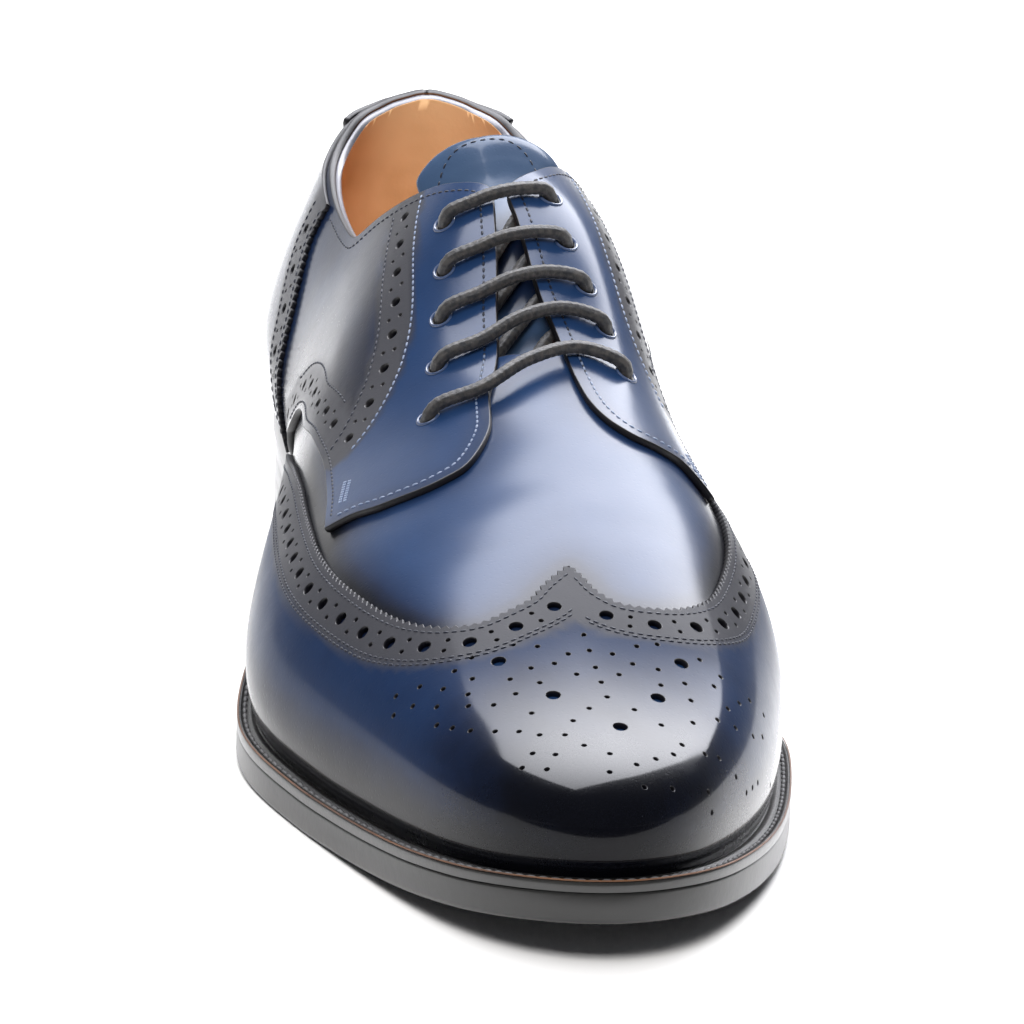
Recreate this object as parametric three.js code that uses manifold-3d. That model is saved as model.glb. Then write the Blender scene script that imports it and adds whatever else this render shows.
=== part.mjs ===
// A right wingtip derby brogue, European size 42, standing on its own sole.
// Millimetres, +Z up, +Y from heel to toe, +X to the wearer's right, the outer side of this foot.
// The upper, its panels, the insole and the sole all come from one last. A place on the last is a
// row, counted from the back of the heel to the tip of the toe, and a girth, 0 at the feather line
// where the upper meets the sole and 1 on the ridge over the instep.

import * as THREE from 'three';
import { mergeVertices } from 'three/addons/utils/BufferGeometryUtils.js';
import Module from 'manifold-3d';

const wasm = await Module();
wasm.setup();

const size = {
  lastLength: 289,
  ballWidth: 93,
  instepHeight: 94,
  heelHeight: 25.5,
  toeSpring: 8.8,
  lastFromHeel: 4.5,
  outsoleLength: 302,
  outsoleThickness: 6,
  weltWidth: 6.5,
  weltThickness: 2.8,
  topPieceThickness: 6,
  heelLength: 74,
  breastHollow: 2.5,
  heelInset: 0.6,
  upperWall: 1.6,
  panelThickness: 1.2,
  counterThickness: 1.1,
  lastingMargin: 9,
  insoleThickness: 2.2,
  tongueThickness: 1.6,
  tongueLift: 9,
  laceDiameter: 2.5,
  eyeletDiameter: 4.8,
  gap: 0.3,
  panelGap: 0.6,
};

// A table's rows are read down its named columns.
const table = (names, rows) =>
  Object.fromEntries(names.split(' ').map((name, column) => [name, rows.map((row) => row[column])]));

// The last, a row for each section. The feather line's two sides, the spine and the bulges are
// shares of the ball width, the places along it shares of the last's length, the ridge and the
// height of the widest point shares of the instep height. Rise and crown shape each side's curve
// from its widest point to the ridge, tuck draws the foot of the wall in, tilt leans the ridge.
const sections = table(
  'lateral lateralAlong medial medialAlong spine spineAlong ridge bulgeLateral bulgeMedial turn ' +
    'riseLateral riseMedial crownLateral crownMedial tilt tuck',
  [
    [0, 0, 0, 0, 0, 0.109, 1.63, 0.032, 0.032, 0.17, 0.35, 0.35, 0.5, 0.5, 0, 0],
    [0.211, 0.019, 0.211, 0.019, 0, 0.116, 1.32, 0.032, 0.032, 0.17, 0.29, 0.31, 0.5, 0.5, 0.05, 0],
    [0.334, 0.095, 0.334, 0.095, -0.011, 0.15, 1.106, 0.032, 0.032, 0.17, 0.22, 0.28, 0.5, 0.5, 0.12, 0.3],
    [0.342, 0.227, 0.331, 0.227, -0.022, 0.254, 1.074, 0.032, 0.062, 0.16, 0.14, 0.4, 0.48, 0.6, 0.17, 0.9],
    [0.377, 0.358, 0.302, 0.358, -0.032, 0.365, 1, 0.038, 0.088, 0.15, 0.26, 0.58, 0.48, 0.7, 0.18, 0.7],
    [0.465, 0.486, 0.338, 0.486, -0.043, 0.479, 0.809, 0.043, 0.093, 0.138, 0.3, 0.54, 0.5, 0.7, 0.16, 0.8],
    [0.53, 0.614, 0.469, 0.614, -0.043, 0.6, 0.691, 0.038, 0.054, 0.128, 0.4, 0.52, 0.55, 0.66, 0.1, 0.5],
    [0.476, 0.721, 0.472, 0.721, -0.032, 0.704, 0.612, 0.032, 0.032, 0.117, 0.5, 0.55, 0.6, 0.62, 0.05, 0],
    [0.367, 0.825, 0.401, 0.827, -0.032, 0.787, 0.532, 0.027, 0.027, 0.117, 0.58, 0.6, 0.6, 0.6, 0.02, 0],
    [0.259, 0.915, 0.29, 0.9165, -0.032, 0.8425, 0.468, 0.0215, 0.0215, 0.117, 0.62, 0.62, 0.6, 0.6, 0, 0],
    [0.133, 0.9775, 0.162, 0.9775, -0.032, 0.87, 0.438, 0.0215, 0.0215, 0.117, 0.62, 0.62, 0.6, 0.6, 0, 0],
    [-0.016, 1, 0.016, 1, -0.032, 0.8805, 0.428, 0.0215, 0.0215, 0.117, 0.62, 0.62, 0.6, 0.6, 0, 0],
  ],
);

// The outsole's underside along the shoe: shares of its length, of the heel height and of the
// toe spring. It lies flat under the ball.
const arch = table('along heel toe', [
  [-0.02, 1.01, 0],
  [0, 1, 0],
  [0.132, 0.96, 0],
  [0.265, 0.824, 0],
  [0.364, 0.588, 0],
  [0.464, 0.306, 0],
  [0.546, 0.094, 0],
  [0.622, 0, 0],
  [0.735, 0, 0],
  [0.795, 0, 0.08],
  [0.861, 0, 0.27],
  [0.927, 0, 0.58],
  [1, 0, 1],
  [1.03, 0, 1.1],
]);

// How far the outsole's edge stands out from the feather line, as shares of the welt's width.
const edgeShares = [0.46, 0.46, 0.46, 0.4, 0.46, 0.75, 1, 1, 1, 1, 1, 1];

// The edge of the upper's opening: the topline from the back of the heel, over its low point, up
// to the top of the facing, and down the facing to the throat.
const opening = {
  lateral: table('row girth', [
    [0, 0.451], [0.5, 0.479], [1, 0.53], [1.5, 0.562], [2, 0.586], [2.5, 0.594], [2.95, 0.61], [3.15, 0.69],
    [3.38, 0.79], [3.6, 0.895], [3.83, 0.985], [4.15, 0.975], [4.42, 0.965], [4.75, 0.95], [5.08, 0.94],
    [5.43, 0.912],
  ]),
  medial: table('row girth', [
    [0, 0.451], [0.5, 0.476], [1, 0.521], [1.5, 0.547], [2, 0.555], [2.5, 0.54], [2.85, 0.55], [3.05, 0.63],
    [3.27, 0.745], [3.6, 0.87], [3.88, 0.975], [4.1, 0.965], [4.65, 0.945], [5, 0.92], [5.33, 0.905],
  ]),
};
const throatRow = 5.12;

// The rounded front of each quarter, from the throat to its lower corner, and the quarter's lower
// edge, from the heel along the welt, over the hump at the waist and along the seam to the corner.
const quarterFront = {
  lateral: table('row girth', [
    [5.7, 0.908], [5.98, 0.88], [6.14, 0.84], [6.18, 0.78], [6.1, 0.68], [5.98, 0.62], [5.89, 0.57],
  ]),
  medial: table('row girth', [
    [5.55, 0.89], [5.76, 0.845], [5.82, 0.79], [5.8, 0.73], [5.76, 0.66], [5.78, 0.61], [5.81, 0.575],
  ]),
};
const quarterFoot = {
  lateral: table('row girth', [
    [0.05, 0.07], [1, 0.07], [2, 0.07], [3, 0.07], [3.3, 0.08], [3.55, 0.2], [3.75, 0.31], [3.98, 0.36],
    [4.25, 0.39], [4.6, 0.46], [5.2, 0.54], [5.58, 0.555], [5.86, 0.55],
  ]),
  medial: table('row girth', [
    [0.05, 0.07], [1, 0.07], [2, 0.07], [3, 0.08], [3.3, 0.09], [3.55, 0.2], [3.75, 0.31], [3.98, 0.35],
    [4.25, 0.38], [4.6, 0.44], [5.2, 0.52], [5.5, 0.55], [5.78, 0.555],
  ]),
};

// The wing cap's upper edge, from the waist along the side to the point on the ridge, and its foot.
const wingEdge = {
  lateral: table('row girth', [
    [3.75, 0.15], [3.84, 0.19], [3.96, 0.22], [4.25, 0.29], [4.6, 0.37], [5.1, 0.45], [5.83, 0.51],
    [6.73, 0.54], [7.38, 0.58], [7.8, 0.66], [8, 0.78], [7.95, 0.89], [7.8, 0.94], [7.62, 1],
  ]),
  medial: table('row girth', [
    [3.75, 0.15], [3.84, 0.19], [3.96, 0.22], [4.25, 0.29], [4.6, 0.37], [5.2, 0.46], [6, 0.54],
    [6.83, 0.58], [7.4, 0.63], [7.85, 0.76], [8, 0.89], [7.9, 0.95], [7.75, 0.975], [7.62, 1],
  ]),
};

// The heel counter's front edge, from the topline down to the welt.
const counterEdge = table('row girth', [
  [2.33, 0.51], [2.42, 0.47], [2.55, 0.42], [2.67, 0.36], [2.77, 0.28], [2.88, 0.18], [3, 0.08],
]);

// The tongue, from its top to its root under the vamp: the girth that its sides reach down to, and
// how far it lifts off the last and has room for the lace over it, as shares of two named sizes.
const tongueRows = table('row girth lift room', [
  [3.02, 0.9, 1, 1],
  [3.06, 0.845, 0.98, 1],
  [3.16, 0.8, 0.8, 1],
  [3.28, 0.785, 0.5, 1],
  [3.42, 0.77, 0.2, 1],
  [3.62, 0.77, 0, 1],
  [3.9, 0.76, 0, 1],
  [4.2, 0.75, 0, 1],
  [4.5, 0.74, 0, 1],
  [4.85, 0.745, 0, 1],
  [5.2, 0.75, 0, 1],
  [5.6, 0.76, 0, 1],
  [5.9, 0.8, 0, 0.5],
  [6.2, 0.84, 0, 0],
]);

// The five pairs of eyelets.
const eyelets = table('lateralRow lateralGirth medialRow medialGirth', [
  [3.95, 0.852, 3.92, 0.862],
  [4.32, 0.84, 4.28, 0.845],
  [4.65, 0.825, 4.57, 0.81],
  [5, 0.812, 4.83, 0.775],
  [5.42, 0.79, 5.14, 0.75],
]);

const lastRow = sections.ridge.length - 1;
const sign = { lateral: 1, medial: -1 };
const sides = Object.keys(sign);
const levels = {
  panel: size.panelGap,
  counter: 2 * size.panelGap + size.panelThickness,
  tab: 3 * size.panelGap + size.panelThickness + size.counterThickness,
};

// A smooth curve through values that stand one row apart.
function rowCurve(values, startSlope = 0, endSlope = 0) {
  const slopes = values.map((_, i) => {
    if (i === 0) return startSlope;
    return i === lastRow ? endSlope : (values[i + 1] - values[i - 1]) / 2;
  });
  return (row) => {
    const i = Math.min(Math.max(Math.floor(row), 0), lastRow - 1);
    const t = row - i;
    return (
      values[i] * (2 * t ** 3 - 3 * t ** 2 + 1) + slopes[i] * (t ** 3 - 2 * t ** 2 + t) +
      values[i + 1] * (3 * t ** 2 - 2 * t ** 3) + slopes[i + 1] * (t ** 3 - t ** 2)
    );
  };
}

// A smooth curve through points at any spacing that never overshoots them.
function steadyCurve(places, values) {
  const steps = places.slice(1).map((place, i) => place - places[i]);
  const rates = steps.map((step, i) => (values[i + 1] - values[i]) / step);
  const slopes = values.map((_, i) => {
    if (i === 0) return rates[0];
    if (i === values.length - 1) return rates[i - 1];
    if (rates[i - 1] * rates[i] <= 0) return 0;
    const [a, b] = [2 * steps[i] + steps[i - 1], steps[i] + 2 * steps[i - 1]];
    return (a + b) / (a / rates[i - 1] + b / rates[i]);
  });
  return (place) => {
    let i = places.findIndex((next) => next > place) - 1;
    if (i < 0) i = place < places[0] ? 0 : steps.length - 1;
    const t = (place - places[i]) / steps[i];
    return (
      values[i] * (2 * t ** 3 - 3 * t ** 2 + 1) + slopes[i] * steps[i] * (t ** 3 - 2 * t ** 2 + t) +
      values[i + 1] * (3 * t ** 2 - 2 * t ** 3) + slopes[i + 1] * steps[i] * (t ** 3 - t ** 2)
    );
  };
}

const scaled = (values, factor, shift = 0) => values.map((value) => value * factor + shift);

// The feather line is one closed curve, so at the heel and the toe each side's slope follows on
// from the other side's.
function makeFeather() {
  const end = lastRow;
  const { lateral, medial, lateralAlong, medialAlong } = sections;
  const heelSlope = (lateral[1] + medial[1]) / 2;
  const toeSlope = (-medial[end - 1] - lateral[end - 1]) / 2;
  const toeTurn = (medialAlong[end - 1] - lateralAlong[end - 1]) / 2;
  const across = (values, start, finish) =>
    rowCurve(scaled(values, size.ballWidth), start * size.ballWidth, finish * size.ballWidth);
  const along = (values, finish) =>
    rowCurve(scaled(values, size.lastLength, size.lastFromHeel), 0, finish * size.lastLength);
  return {
    lateral: { x: across(lateral, heelSlope, toeSlope), y: along(lateralAlong, toeTurn) },
    medial: { x: across(scaled(medial, -1), -heelSlope, -toeSlope), y: along(medialAlong, -toeTurn) },
  };
}

const feather = makeFeather();
const spine = {
  x: rowCurve(scaled(sections.spine, size.ballWidth)),
  y: rowCurve(scaled(sections.spineAlong, size.lastLength, size.lastFromHeel)),
  z: rowCurve(scaled(sections.ridge, size.instepHeight)),
};
const bulge = {
  lateral: rowCurve(scaled(sections.bulgeLateral, size.ballWidth)),
  medial: rowCurve(scaled(sections.bulgeMedial, size.ballWidth)),
};
const rise = { lateral: rowCurve(sections.riseLateral), medial: rowCurve(sections.riseMedial) };
const crown = { lateral: rowCurve(sections.crownLateral), medial: rowCurve(sections.crownMedial) };
const turn = rowCurve(scaled(sections.turn, size.instepHeight));
const tilt = rowCurve(sections.tilt);
const tuckMedial = rowCurve(sections.tuck);
const outsoleEdge = rowCurve(scaled(edgeShares, size.weltWidth));
const undersideCurve = steadyCurve(
  scaled(arch.along, size.outsoleLength),
  arch.heel.map((share, i) => share * size.heelHeight + arch.toe[i] * size.toeSpring),
);
const underside = (y) => undersideCurve(y);
const seat = (y) => underside(y) + size.outsoleThickness + size.gap;

// The share of the girth below the widest point.
const wallShare = 0.16;

// The rib of the last at a row: where its foot is, which way it runs in plan, and how far.
function rib(row, side) {
  const foot = { x: feather[side].x(row), y: feather[side].y(row) };
  const top = { x: spine.x(row), y: spine.y(row), z: spine.z(row) };
  const reach = Math.hypot(foot.x - top.x, foot.y - top.y);
  return { foot, top, reach, dx: (foot.x - top.x) / reach, dy: (foot.y - top.y) / reach };
}

// How far the wall stands out from the feather line, a share t of the way to its widest point.
function wallBulge(row, side, t) {
  const tuck = side === 'medial' ? tuckMedial(row) : 0;
  return bulge[side](row) * ((1 - tuck) * t * (2 - t) + tuck * t * t * (3 - 2 * t));
}

function lastPoint(row, girth, side) {
  const { foot, top, reach, dx, dy } = rib(row, side);
  const base = seat(foot.y);
  let out;
  let height;
  if (girth < wallShare) {
    const t = girth / wallShare;
    out = reach + wallBulge(row, side, t);
    height = base + turn(row) * t;
  } else {
    const t = (girth - wallShare) / (1 - wallShare);
    const s = 1 - t;
    const widest = reach + bulge[side](row);
    const level = base + turn(row);
    const near = Math.min(Math.max(row, 2.5), lastRow - 0.1);
    const slope = (spine.z(near + 0.05) - spine.z(near - 0.05)) / (spine.y(near + 0.05) - spine.y(near - 0.05));
    const lean = crown[side](row) * widest * (slope * dy - tilt(row) * dx);
    out = widest * (s ** 3 + 3 * s * s * t + 3 * s * t * t * crown[side](row));
    height =
      level * (s ** 3 + 3 * s * s * t) + 3 * s * s * t * rise[side](row) * (top.z - level) +
      3 * s * t * t * (top.z + lean) + t ** 3 * top.z;
  }
  return new THREE.Vector3(top.x + dx * out, top.y + dy * out, height);
}

// The direction out of the last. On the ridge, the heel's and the toe's centre line both sides
// give the same one.
function lastNormal(row, girth, side) {
  const ends = (value, low, high) => [Math.max(value - 0.01, low), Math.min(value + 0.01, high)];
  const oneSide = (name) => {
    const [r0, r1] = ends(row, 0, lastRow);
    const [g0, g1] = ends(girth, 0, 1);
    const alongRow = lastPoint(r1, girth, name).sub(lastPoint(r0, girth, name));
    const alongGirth = lastPoint(row, g1, name).sub(lastPoint(row, g0, name));
    return alongRow.cross(alongGirth).multiplyScalar(sign[name]).normalize();
  };
  const normal = oneSide(side);
  if (girth > 0.999 || row < 0.001 || row > lastRow - 0.001) {
    normal.add(oneSide(side === 'lateral' ? 'medial' : 'lateral')).normalize();
  }
  return normal;
}

const skinPoint = (row, girth, side, level) =>
  lastPoint(row, girth, side).addScaledVector(lastNormal(row, girth, side), level);

// A point in plan at a distance out from the feather line.
function edgePoint(row, side, distance) {
  const step = 0.01;
  const end = side === 'lateral' ? 1 : -1;
  const at = (place) => {
    if (place < 0) return { x: -feather[side].x(-place), y: feather[side].y(-place) };
    if (place > lastRow) {
      const other = side === 'lateral' ? 'medial' : 'lateral';
      return { x: feather[other].x(2 * lastRow - place), y: feather[other].y(2 * lastRow - place) };
    }
    return { x: feather[side].x(place), y: feather[side].y(place) };
  };
  const [a, b] = [at(row - step), at(row + step)];
  const length = Math.hypot(b.x - a.x, b.y - a.y);
  const here = at(row);
  return {
    x: here.x + (distance * end * (b.y - a.y)) / length,
    y: here.y - (distance * end * (b.x - a.x)) / length,
  };
}

// Solids are made of patches, each an outer and an inner grid of points with walls round the rim.
// Where two patches meet, their walls hold the same triangles twice, and both are left out.
function patchSolid(patches) {
  const faces = [];
  const quad = (a, b, c, d, flip) => {
    const order = flip ? [a, d, c, a, c, b] : [a, b, c, a, c, d];
    faces.push(order.slice(0, 3), order.slice(3));
  };
  for (const { outer, inner, flip } of patches) {
    const [columns, rows] = [outer.length - 1, outer[0].length - 1];
    for (let i = 0; i < columns; i++) {
      for (let j = 0; j < rows; j++) {
        quad(outer[i][j], outer[i + 1][j], outer[i + 1][j + 1], outer[i][j + 1], flip);
        quad(inner[i][j], inner[i][j + 1], inner[i + 1][j + 1], inner[i + 1][j], flip);
      }
      quad(outer[i][0], inner[i][0], inner[i + 1][0], outer[i + 1][0], flip);
      quad(outer[i][rows], outer[i + 1][rows], inner[i + 1][rows], inner[i][rows], flip);
    }
    for (let j = 0; j < rows; j++) {
      quad(outer[0][j], outer[0][j + 1], inner[0][j + 1], inner[0][j], flip);
      quad(outer[columns][j], inner[columns][j], inner[columns][j + 1], outer[columns][j + 1], flip);
    }
  }
  return facesToGeometry(faces);
}

function facesToGeometry(faces) {
  const soup = new THREE.BufferGeometry();
  const positions = faces.flat().flatMap((point) => [point.x, point.y, point.z]);
  soup.setAttribute('position', new THREE.Float32BufferAttribute(positions, 3));
  const merged = mergeVertices(soup, 1e-3);
  const index = Array.from(merged.index.array);
  const seen = new Map();
  for (let i = 0; i < index.length; i += 3) {
    const corners = index.slice(i, i + 3);
    if (new Set(corners).size < 3) continue;
    const key = [...corners].sort((a, b) => a - b).join(' ');
    if (seen.has(key)) seen.delete(key);
    else seen.set(key, corners);
  }
  merged.setIndex([...seen.values()].flat());
  return merged;
}

// Joins and cuts.
function toSolid(geometry) {
  const bare = new THREE.BufferGeometry();
  bare.setAttribute('position', geometry.getAttribute('position').clone());
  if (geometry.index) bare.setIndex(geometry.index.clone());
  const merged = mergeVertices(bare, 1e-4);
  return new wasm.Manifold(
    new wasm.Mesh({
      numProp: 3,
      vertProperties: new Float32Array(merged.getAttribute('position').array),
      triVerts: new Uint32Array(merged.index.array),
    }),
  );
}

function toGeometry(solid) {
  const mesh = solid.getMesh();
  const geometry = new THREE.BufferGeometry();
  geometry.setAttribute('position', new THREE.Float32BufferAttribute(mesh.vertProperties, 3));
  geometry.setIndex(Array.from(mesh.triVerts));
  return geometry;
}

// The rows at which shells and plates are cut, closer together round the heel and the toe.
const stations = [];
for (let row = 0; row <= lastRow; row += row >= 5.5 && row < 7.5 ? 0.5 : 0.25) stations.push(row);
const plateStations = stations.filter((row) => row < 3 || row > 8 || row % 0.5 === 0);

const spread = (count) => Array.from({ length: count + 1 }, (_, i) => i / count);

// Points at even steps along a line through table rows, in row and girth.
function pathThrough(...tables) {
  const points = tables.flatMap((part) => part.row.map((row, i) => ({ row, girth: part.girth[i] })));
  const lengths = [0];
  for (let i = 1; i < points.length; i++) {
    const step = Math.hypot((points[i].row - points[i - 1].row) * 0.26, points[i].girth - points[i - 1].girth);
    lengths.push(lengths[i - 1] + step);
  }
  const row = steadyCurve(lengths, points.map((point) => point.row));
  const girth = steadyCurve(lengths, points.map((point) => point.girth));
  const total = lengths[lengths.length - 1];
  return (share) => ({ row: row(share * total), girth: girth(share * total) });
}

// One side's panel between a foot line and a top line.
function panelPatch({ side, foot, top, level, thickness, columns, shares }) {
  const grid = (height) =>
    spread(columns).map((t) => {
      const [a, b] = [foot(t), top(t)];
      return shares.map((u) =>
        skinPoint(a.row + (b.row - a.row) * u, a.girth + (b.girth - a.girth) * u, side, height),
      );
    });
  return { outer: grid(level + thickness), inner: grid(level), flip: side === 'medial' };
}

function tableCurve({ row, girth }) {
  return steadyCurve(row, girth);
}

const openingCurve = { lateral: tableCurve(opening.lateral), medial: tableCurve(opening.medial) };

// The upper's own edge lies a little behind the edge of the quarters that cover it.
function upperEdge(row, side) {
  if (row > throatRow) return 1;
  const margin = row > 3.4 ? 0.03 : 0.008;
  return openingCurve[side](row) - margin;
}

function eyeletCutters(reach) {
  return eyelets.lateralRow.flatMap((_, i) =>
    sides.map((side) => {
      const [row, girth] = [eyelets[`${side}Row`][i], eyelets[`${side}Girth`][i]];
      const centre = lastPoint(row, girth, side);
      const geometry = new THREE.CylinderGeometry(size.eyeletDiameter / 2, size.eyeletDiameter / 2, reach, 8);
      const aim = new THREE.Quaternion().setFromUnitVectors(
        new THREE.Vector3(0, 1, 0),
        lastNormal(row, girth, side),
      );
      geometry.applyQuaternion(aim).translate(centre.x, centre.y, centre.z);
      return toSolid(geometry);
    }),
  );
}

// The hollow upper: the wall from the lip of the lasting margin, round the feather line and up to
// the opening or the ridge.
function shellPatches() {
  const girths = [0, 0.04, 0.08, 0.12, 0.16, 0.22, 0.34, 0.48, 0.62, 0.75, 0.86, 0.94, 1];
  return sides.map((side) => {
    const outer = [];
    const inner = [];
    for (const row of stations) {
      const { foot, dx, dy } = rib(row, side);
      const edge = upperEdge(row, side);
      const lip = (height, distance) => {
        const y = foot.y - dy * distance;
        return new THREE.Vector3(foot.x - dx * distance, y, seat(y) + height);
      };
      const wall = (from, height) =>
        girths.slice(from).map((share) => skinPoint(row, share * edge, side, height));
      const knee = lip(size.upperWall + 1.6, size.upperWall - wallBulge(row, side, 0.3));
      const margin = [lip(size.upperWall, size.lastingMargin), lip(size.upperWall, size.upperWall), knee];
      outer.push([lip(0, size.lastingMargin), ...wall(0, 0)]);
      inner.push([...margin, ...wall(2, -size.upperWall)]);
    }
    return { outer, inner, flip: side === 'medial' };
  });
}

function makeUpper() {
  let solid = toSolid(patchSolid(shellPatches()));
  for (const cutter of eyeletCutters(12)) solid = solid.subtract(cutter);
  return toGeometry(solid);
}

function quarterPatch(side) {
  const foot = pathThrough(quarterFoot[side]);
  const back = { row: [0.05], girth: [openingCurve[side](0.05)] };
  const front = { row: opening[side].row.slice(1), girth: opening[side].girth.slice(1) };
  const top = pathThrough(back, front, quarterFront[side]);
  const thickness = size.panelThickness;
  const shares = [0, 0.04, 0.09, 0.17, 0.3, 0.45, 0.6, 0.73, 0.84, 0.92, 1];
  return panelPatch({ side, foot, top, level: levels.panel, thickness, columns: 28, shares });
}

function makeQuarter(side) {
  let solid = toSolid(patchSolid([quarterPatch(side)]));
  for (const cutter of eyeletCutters(12)) solid = solid.subtract(cutter);
  return toGeometry(solid);
}

function makeWingCap() {
  const patches = sides.map((side) => {
    const foot = pathThrough({ row: [3.75, 5, 7, 9, lastRow], girth: [0.1, 0.1, 0.08, 0.08, 0.08] });
    const edge = pathThrough(wingEdge[side]);
    const ridge = pathThrough({ row: [7.62, 8.6, 9.6, lastRow], girth: [1, 1, 1, 1] });
    const split = 18 / 26;
    const top = (t) => (t <= split ? edge(t / split) : ridge((t - split) / (1 - split)));
    const thickness = size.panelThickness;
    return panelPatch({ side, foot, top, level: levels.panel, thickness, columns: 26, shares: spread(7) });
  });
  return patchSolid(patches);
}

function makeCounter() {
  const patches = sides.map((side) => {
    const foot = pathThrough({ row: [0, 1, 2, 2.96], girth: [0.07, 0.07, 0.07, 0.08] });
    const backRows = [0, 0.5, 1, 1.5, 2, 2.25];
    const back = { row: backRows, girth: backRows.map((row) => openingCurve[side](row) - 0.012) };
    const top = pathThrough(back, counterEdge);
    const thickness = size.counterThickness;
    return panelPatch({ side, foot, top, level: levels.counter, thickness, columns: 13, shares: spread(7) });
  });
  return patchSolid(patches);
}

// The strip over the back seam, wide at the collar and narrow below.
function makeHeelTab() {
  const patches = sides.map((side) => {
    const topRows = [0, 0.5, 0.92];
    const foot = pathThrough({ row: [0, 0.2, 0.3], girth: [0.25, 0.26, 0.3] });
    const top = pathThrough({ row: topRows, girth: topRows.map((row) => openingCurve[side](row) - 0.01) });
    const thickness = size.counterThickness;
    return panelPatch({ side, foot, top, level: levels.tab, thickness, columns: 4, shares: spread(4) });
  });
  return patchSolid(patches);
}

// The tongue lies under the facings with room for the lace between.
function makeTongue() {
  const reach = steadyCurve(tongueRows.row, tongueRows.girth);
  const lift = steadyCurve(tongueRows.row, scaled(tongueRows.lift, size.tongueLift));
  const room = steadyCurve(tongueRows.row, scaled(tongueRows.room, size.laceDiameter + 4 * size.gap));
  const across = spread(5);
  const patches = sides.map((side) => {
    const grid = (height) =>
      tongueRows.row.map((row) => {
        const sink = size.upperWall + size.gap + room(row) - lift(row);
        return across.map((u) => {
          const girth = reach(row) + (1 - reach(row)) * u;
          return skinPoint(row, girth, side, -sink - (1 - height) * size.tongueThickness);
        });
      });
    return { outer: grid(1), inner: grid(0), flip: side === 'medial' };
  });
  return patchSolid(patches);
}

// A flat piece that fills an outline: its edge distance from the feather line, and its two faces.
function platePatches({ distance, bottom, top, rows = plateStations, across = 3 }) {
  return sides.map((side) => {
    const grid = (height) =>
      rows.map((row) => {
        const edge = edgePoint(row, side, distance(row, side));
        const middle = { x: spine.x(row), y: spine.y(row) };
        return spread(across).map((u) => {
          const [x, y] = [edge.x + (middle.x - edge.x) * u, edge.y + (middle.y - edge.y) * u];
          return new THREE.Vector3(x, y, height(y));
        });
      });
    return { outer: grid(top), inner: grid(bottom), flip: side === 'medial' };
  });
}

function makeOutsole() {
  return patchSolid(
    platePatches({
      distance: (row) => outsoleEdge(row),
      bottom: underside,
      top: (y) => underside(y) + size.outsoleThickness,
    }),
  );
}

function makeInsole() {
  const base = (y) => seat(y) + size.upperWall + size.gap;
  return patchSolid(
    platePatches({
      distance: () => -size.upperWall - 2 * size.gap,
      bottom: base,
      top: (y) => base(y) + size.insoleThickness,
      across: 2,
    }),
  );
}

function makeWelt() {
  const patches = sides.map((side) => {
    const grid = (height) =>
      plateStations.map((row) => {
        const share = Math.min(1, (size.weltThickness + size.gap) / turn(row));
        const clear = wallBulge(row, side, share) + 2 * size.gap;
        return [outsoleEdge(row), clear].map((distance) => {
          const { x, y } = edgePoint(row, side, distance);
          return new THREE.Vector3(x, y, seat(y) + height);
        });
      });
    return { outer: grid(size.weltThickness), inner: grid(0), flip: side === 'medial' };
  });
  return patchSolid(patches);
}

// The heel's shape in plan: the outsole's outline a little inside its edge, cut off by the hollow
// breast.
function heelSlab(bottom, top) {
  const slab = toSolid(
    patchSolid(
      platePatches({
        distance: (row) => outsoleEdge(row) - size.heelInset,
        bottom,
        top,
        rows: plateStations.filter((row) => row <= 4.5),
        across: 2,
      }),
    ),
  );
  const half = size.ballWidth * 0.36;
  const radius = (half ** 2 + size.breastHollow ** 2) / (2 * size.breastHollow);
  const hollow = new THREE.CylinderGeometry(radius, radius, 4 * size.heelHeight, 160);
  hollow.rotateX(Math.PI / 2).translate(0, size.heelLength + radius - size.breastHollow, 0);
  const beyond = new THREE.BoxGeometry(4 * size.ballWidth, size.outsoleLength, 4 * size.heelHeight);
  beyond.translate(0, size.heelLength + size.outsoleLength / 2, 0);
  return slab.subtract(toSolid(hollow)).subtract(toSolid(beyond));
}

function makeHeelBlock() {
  return toGeometry(
    heelSlab(() => size.topPieceThickness + size.gap, (y) => underside(y) - size.gap),
  );
}

// The top piece is two parts that meet along a slanting line.
function makeTopPiece(part) {
  const slab = heelSlab(() => 0, () => size.topPieceThickness);
  const block = new THREE.BoxGeometry(4 * size.ballWidth, size.outsoleLength, 4 * size.heelHeight);
  const shift = (size.outsoleLength - size.gap) / 2;
  block.translate(0, part === 'front' ? -shift : shift, 0);
  block.rotateZ(-0.3).translate(0, size.heelLength * 0.56, 0);
  return toGeometry(slab.subtract(toSolid(block)));
}

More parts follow.
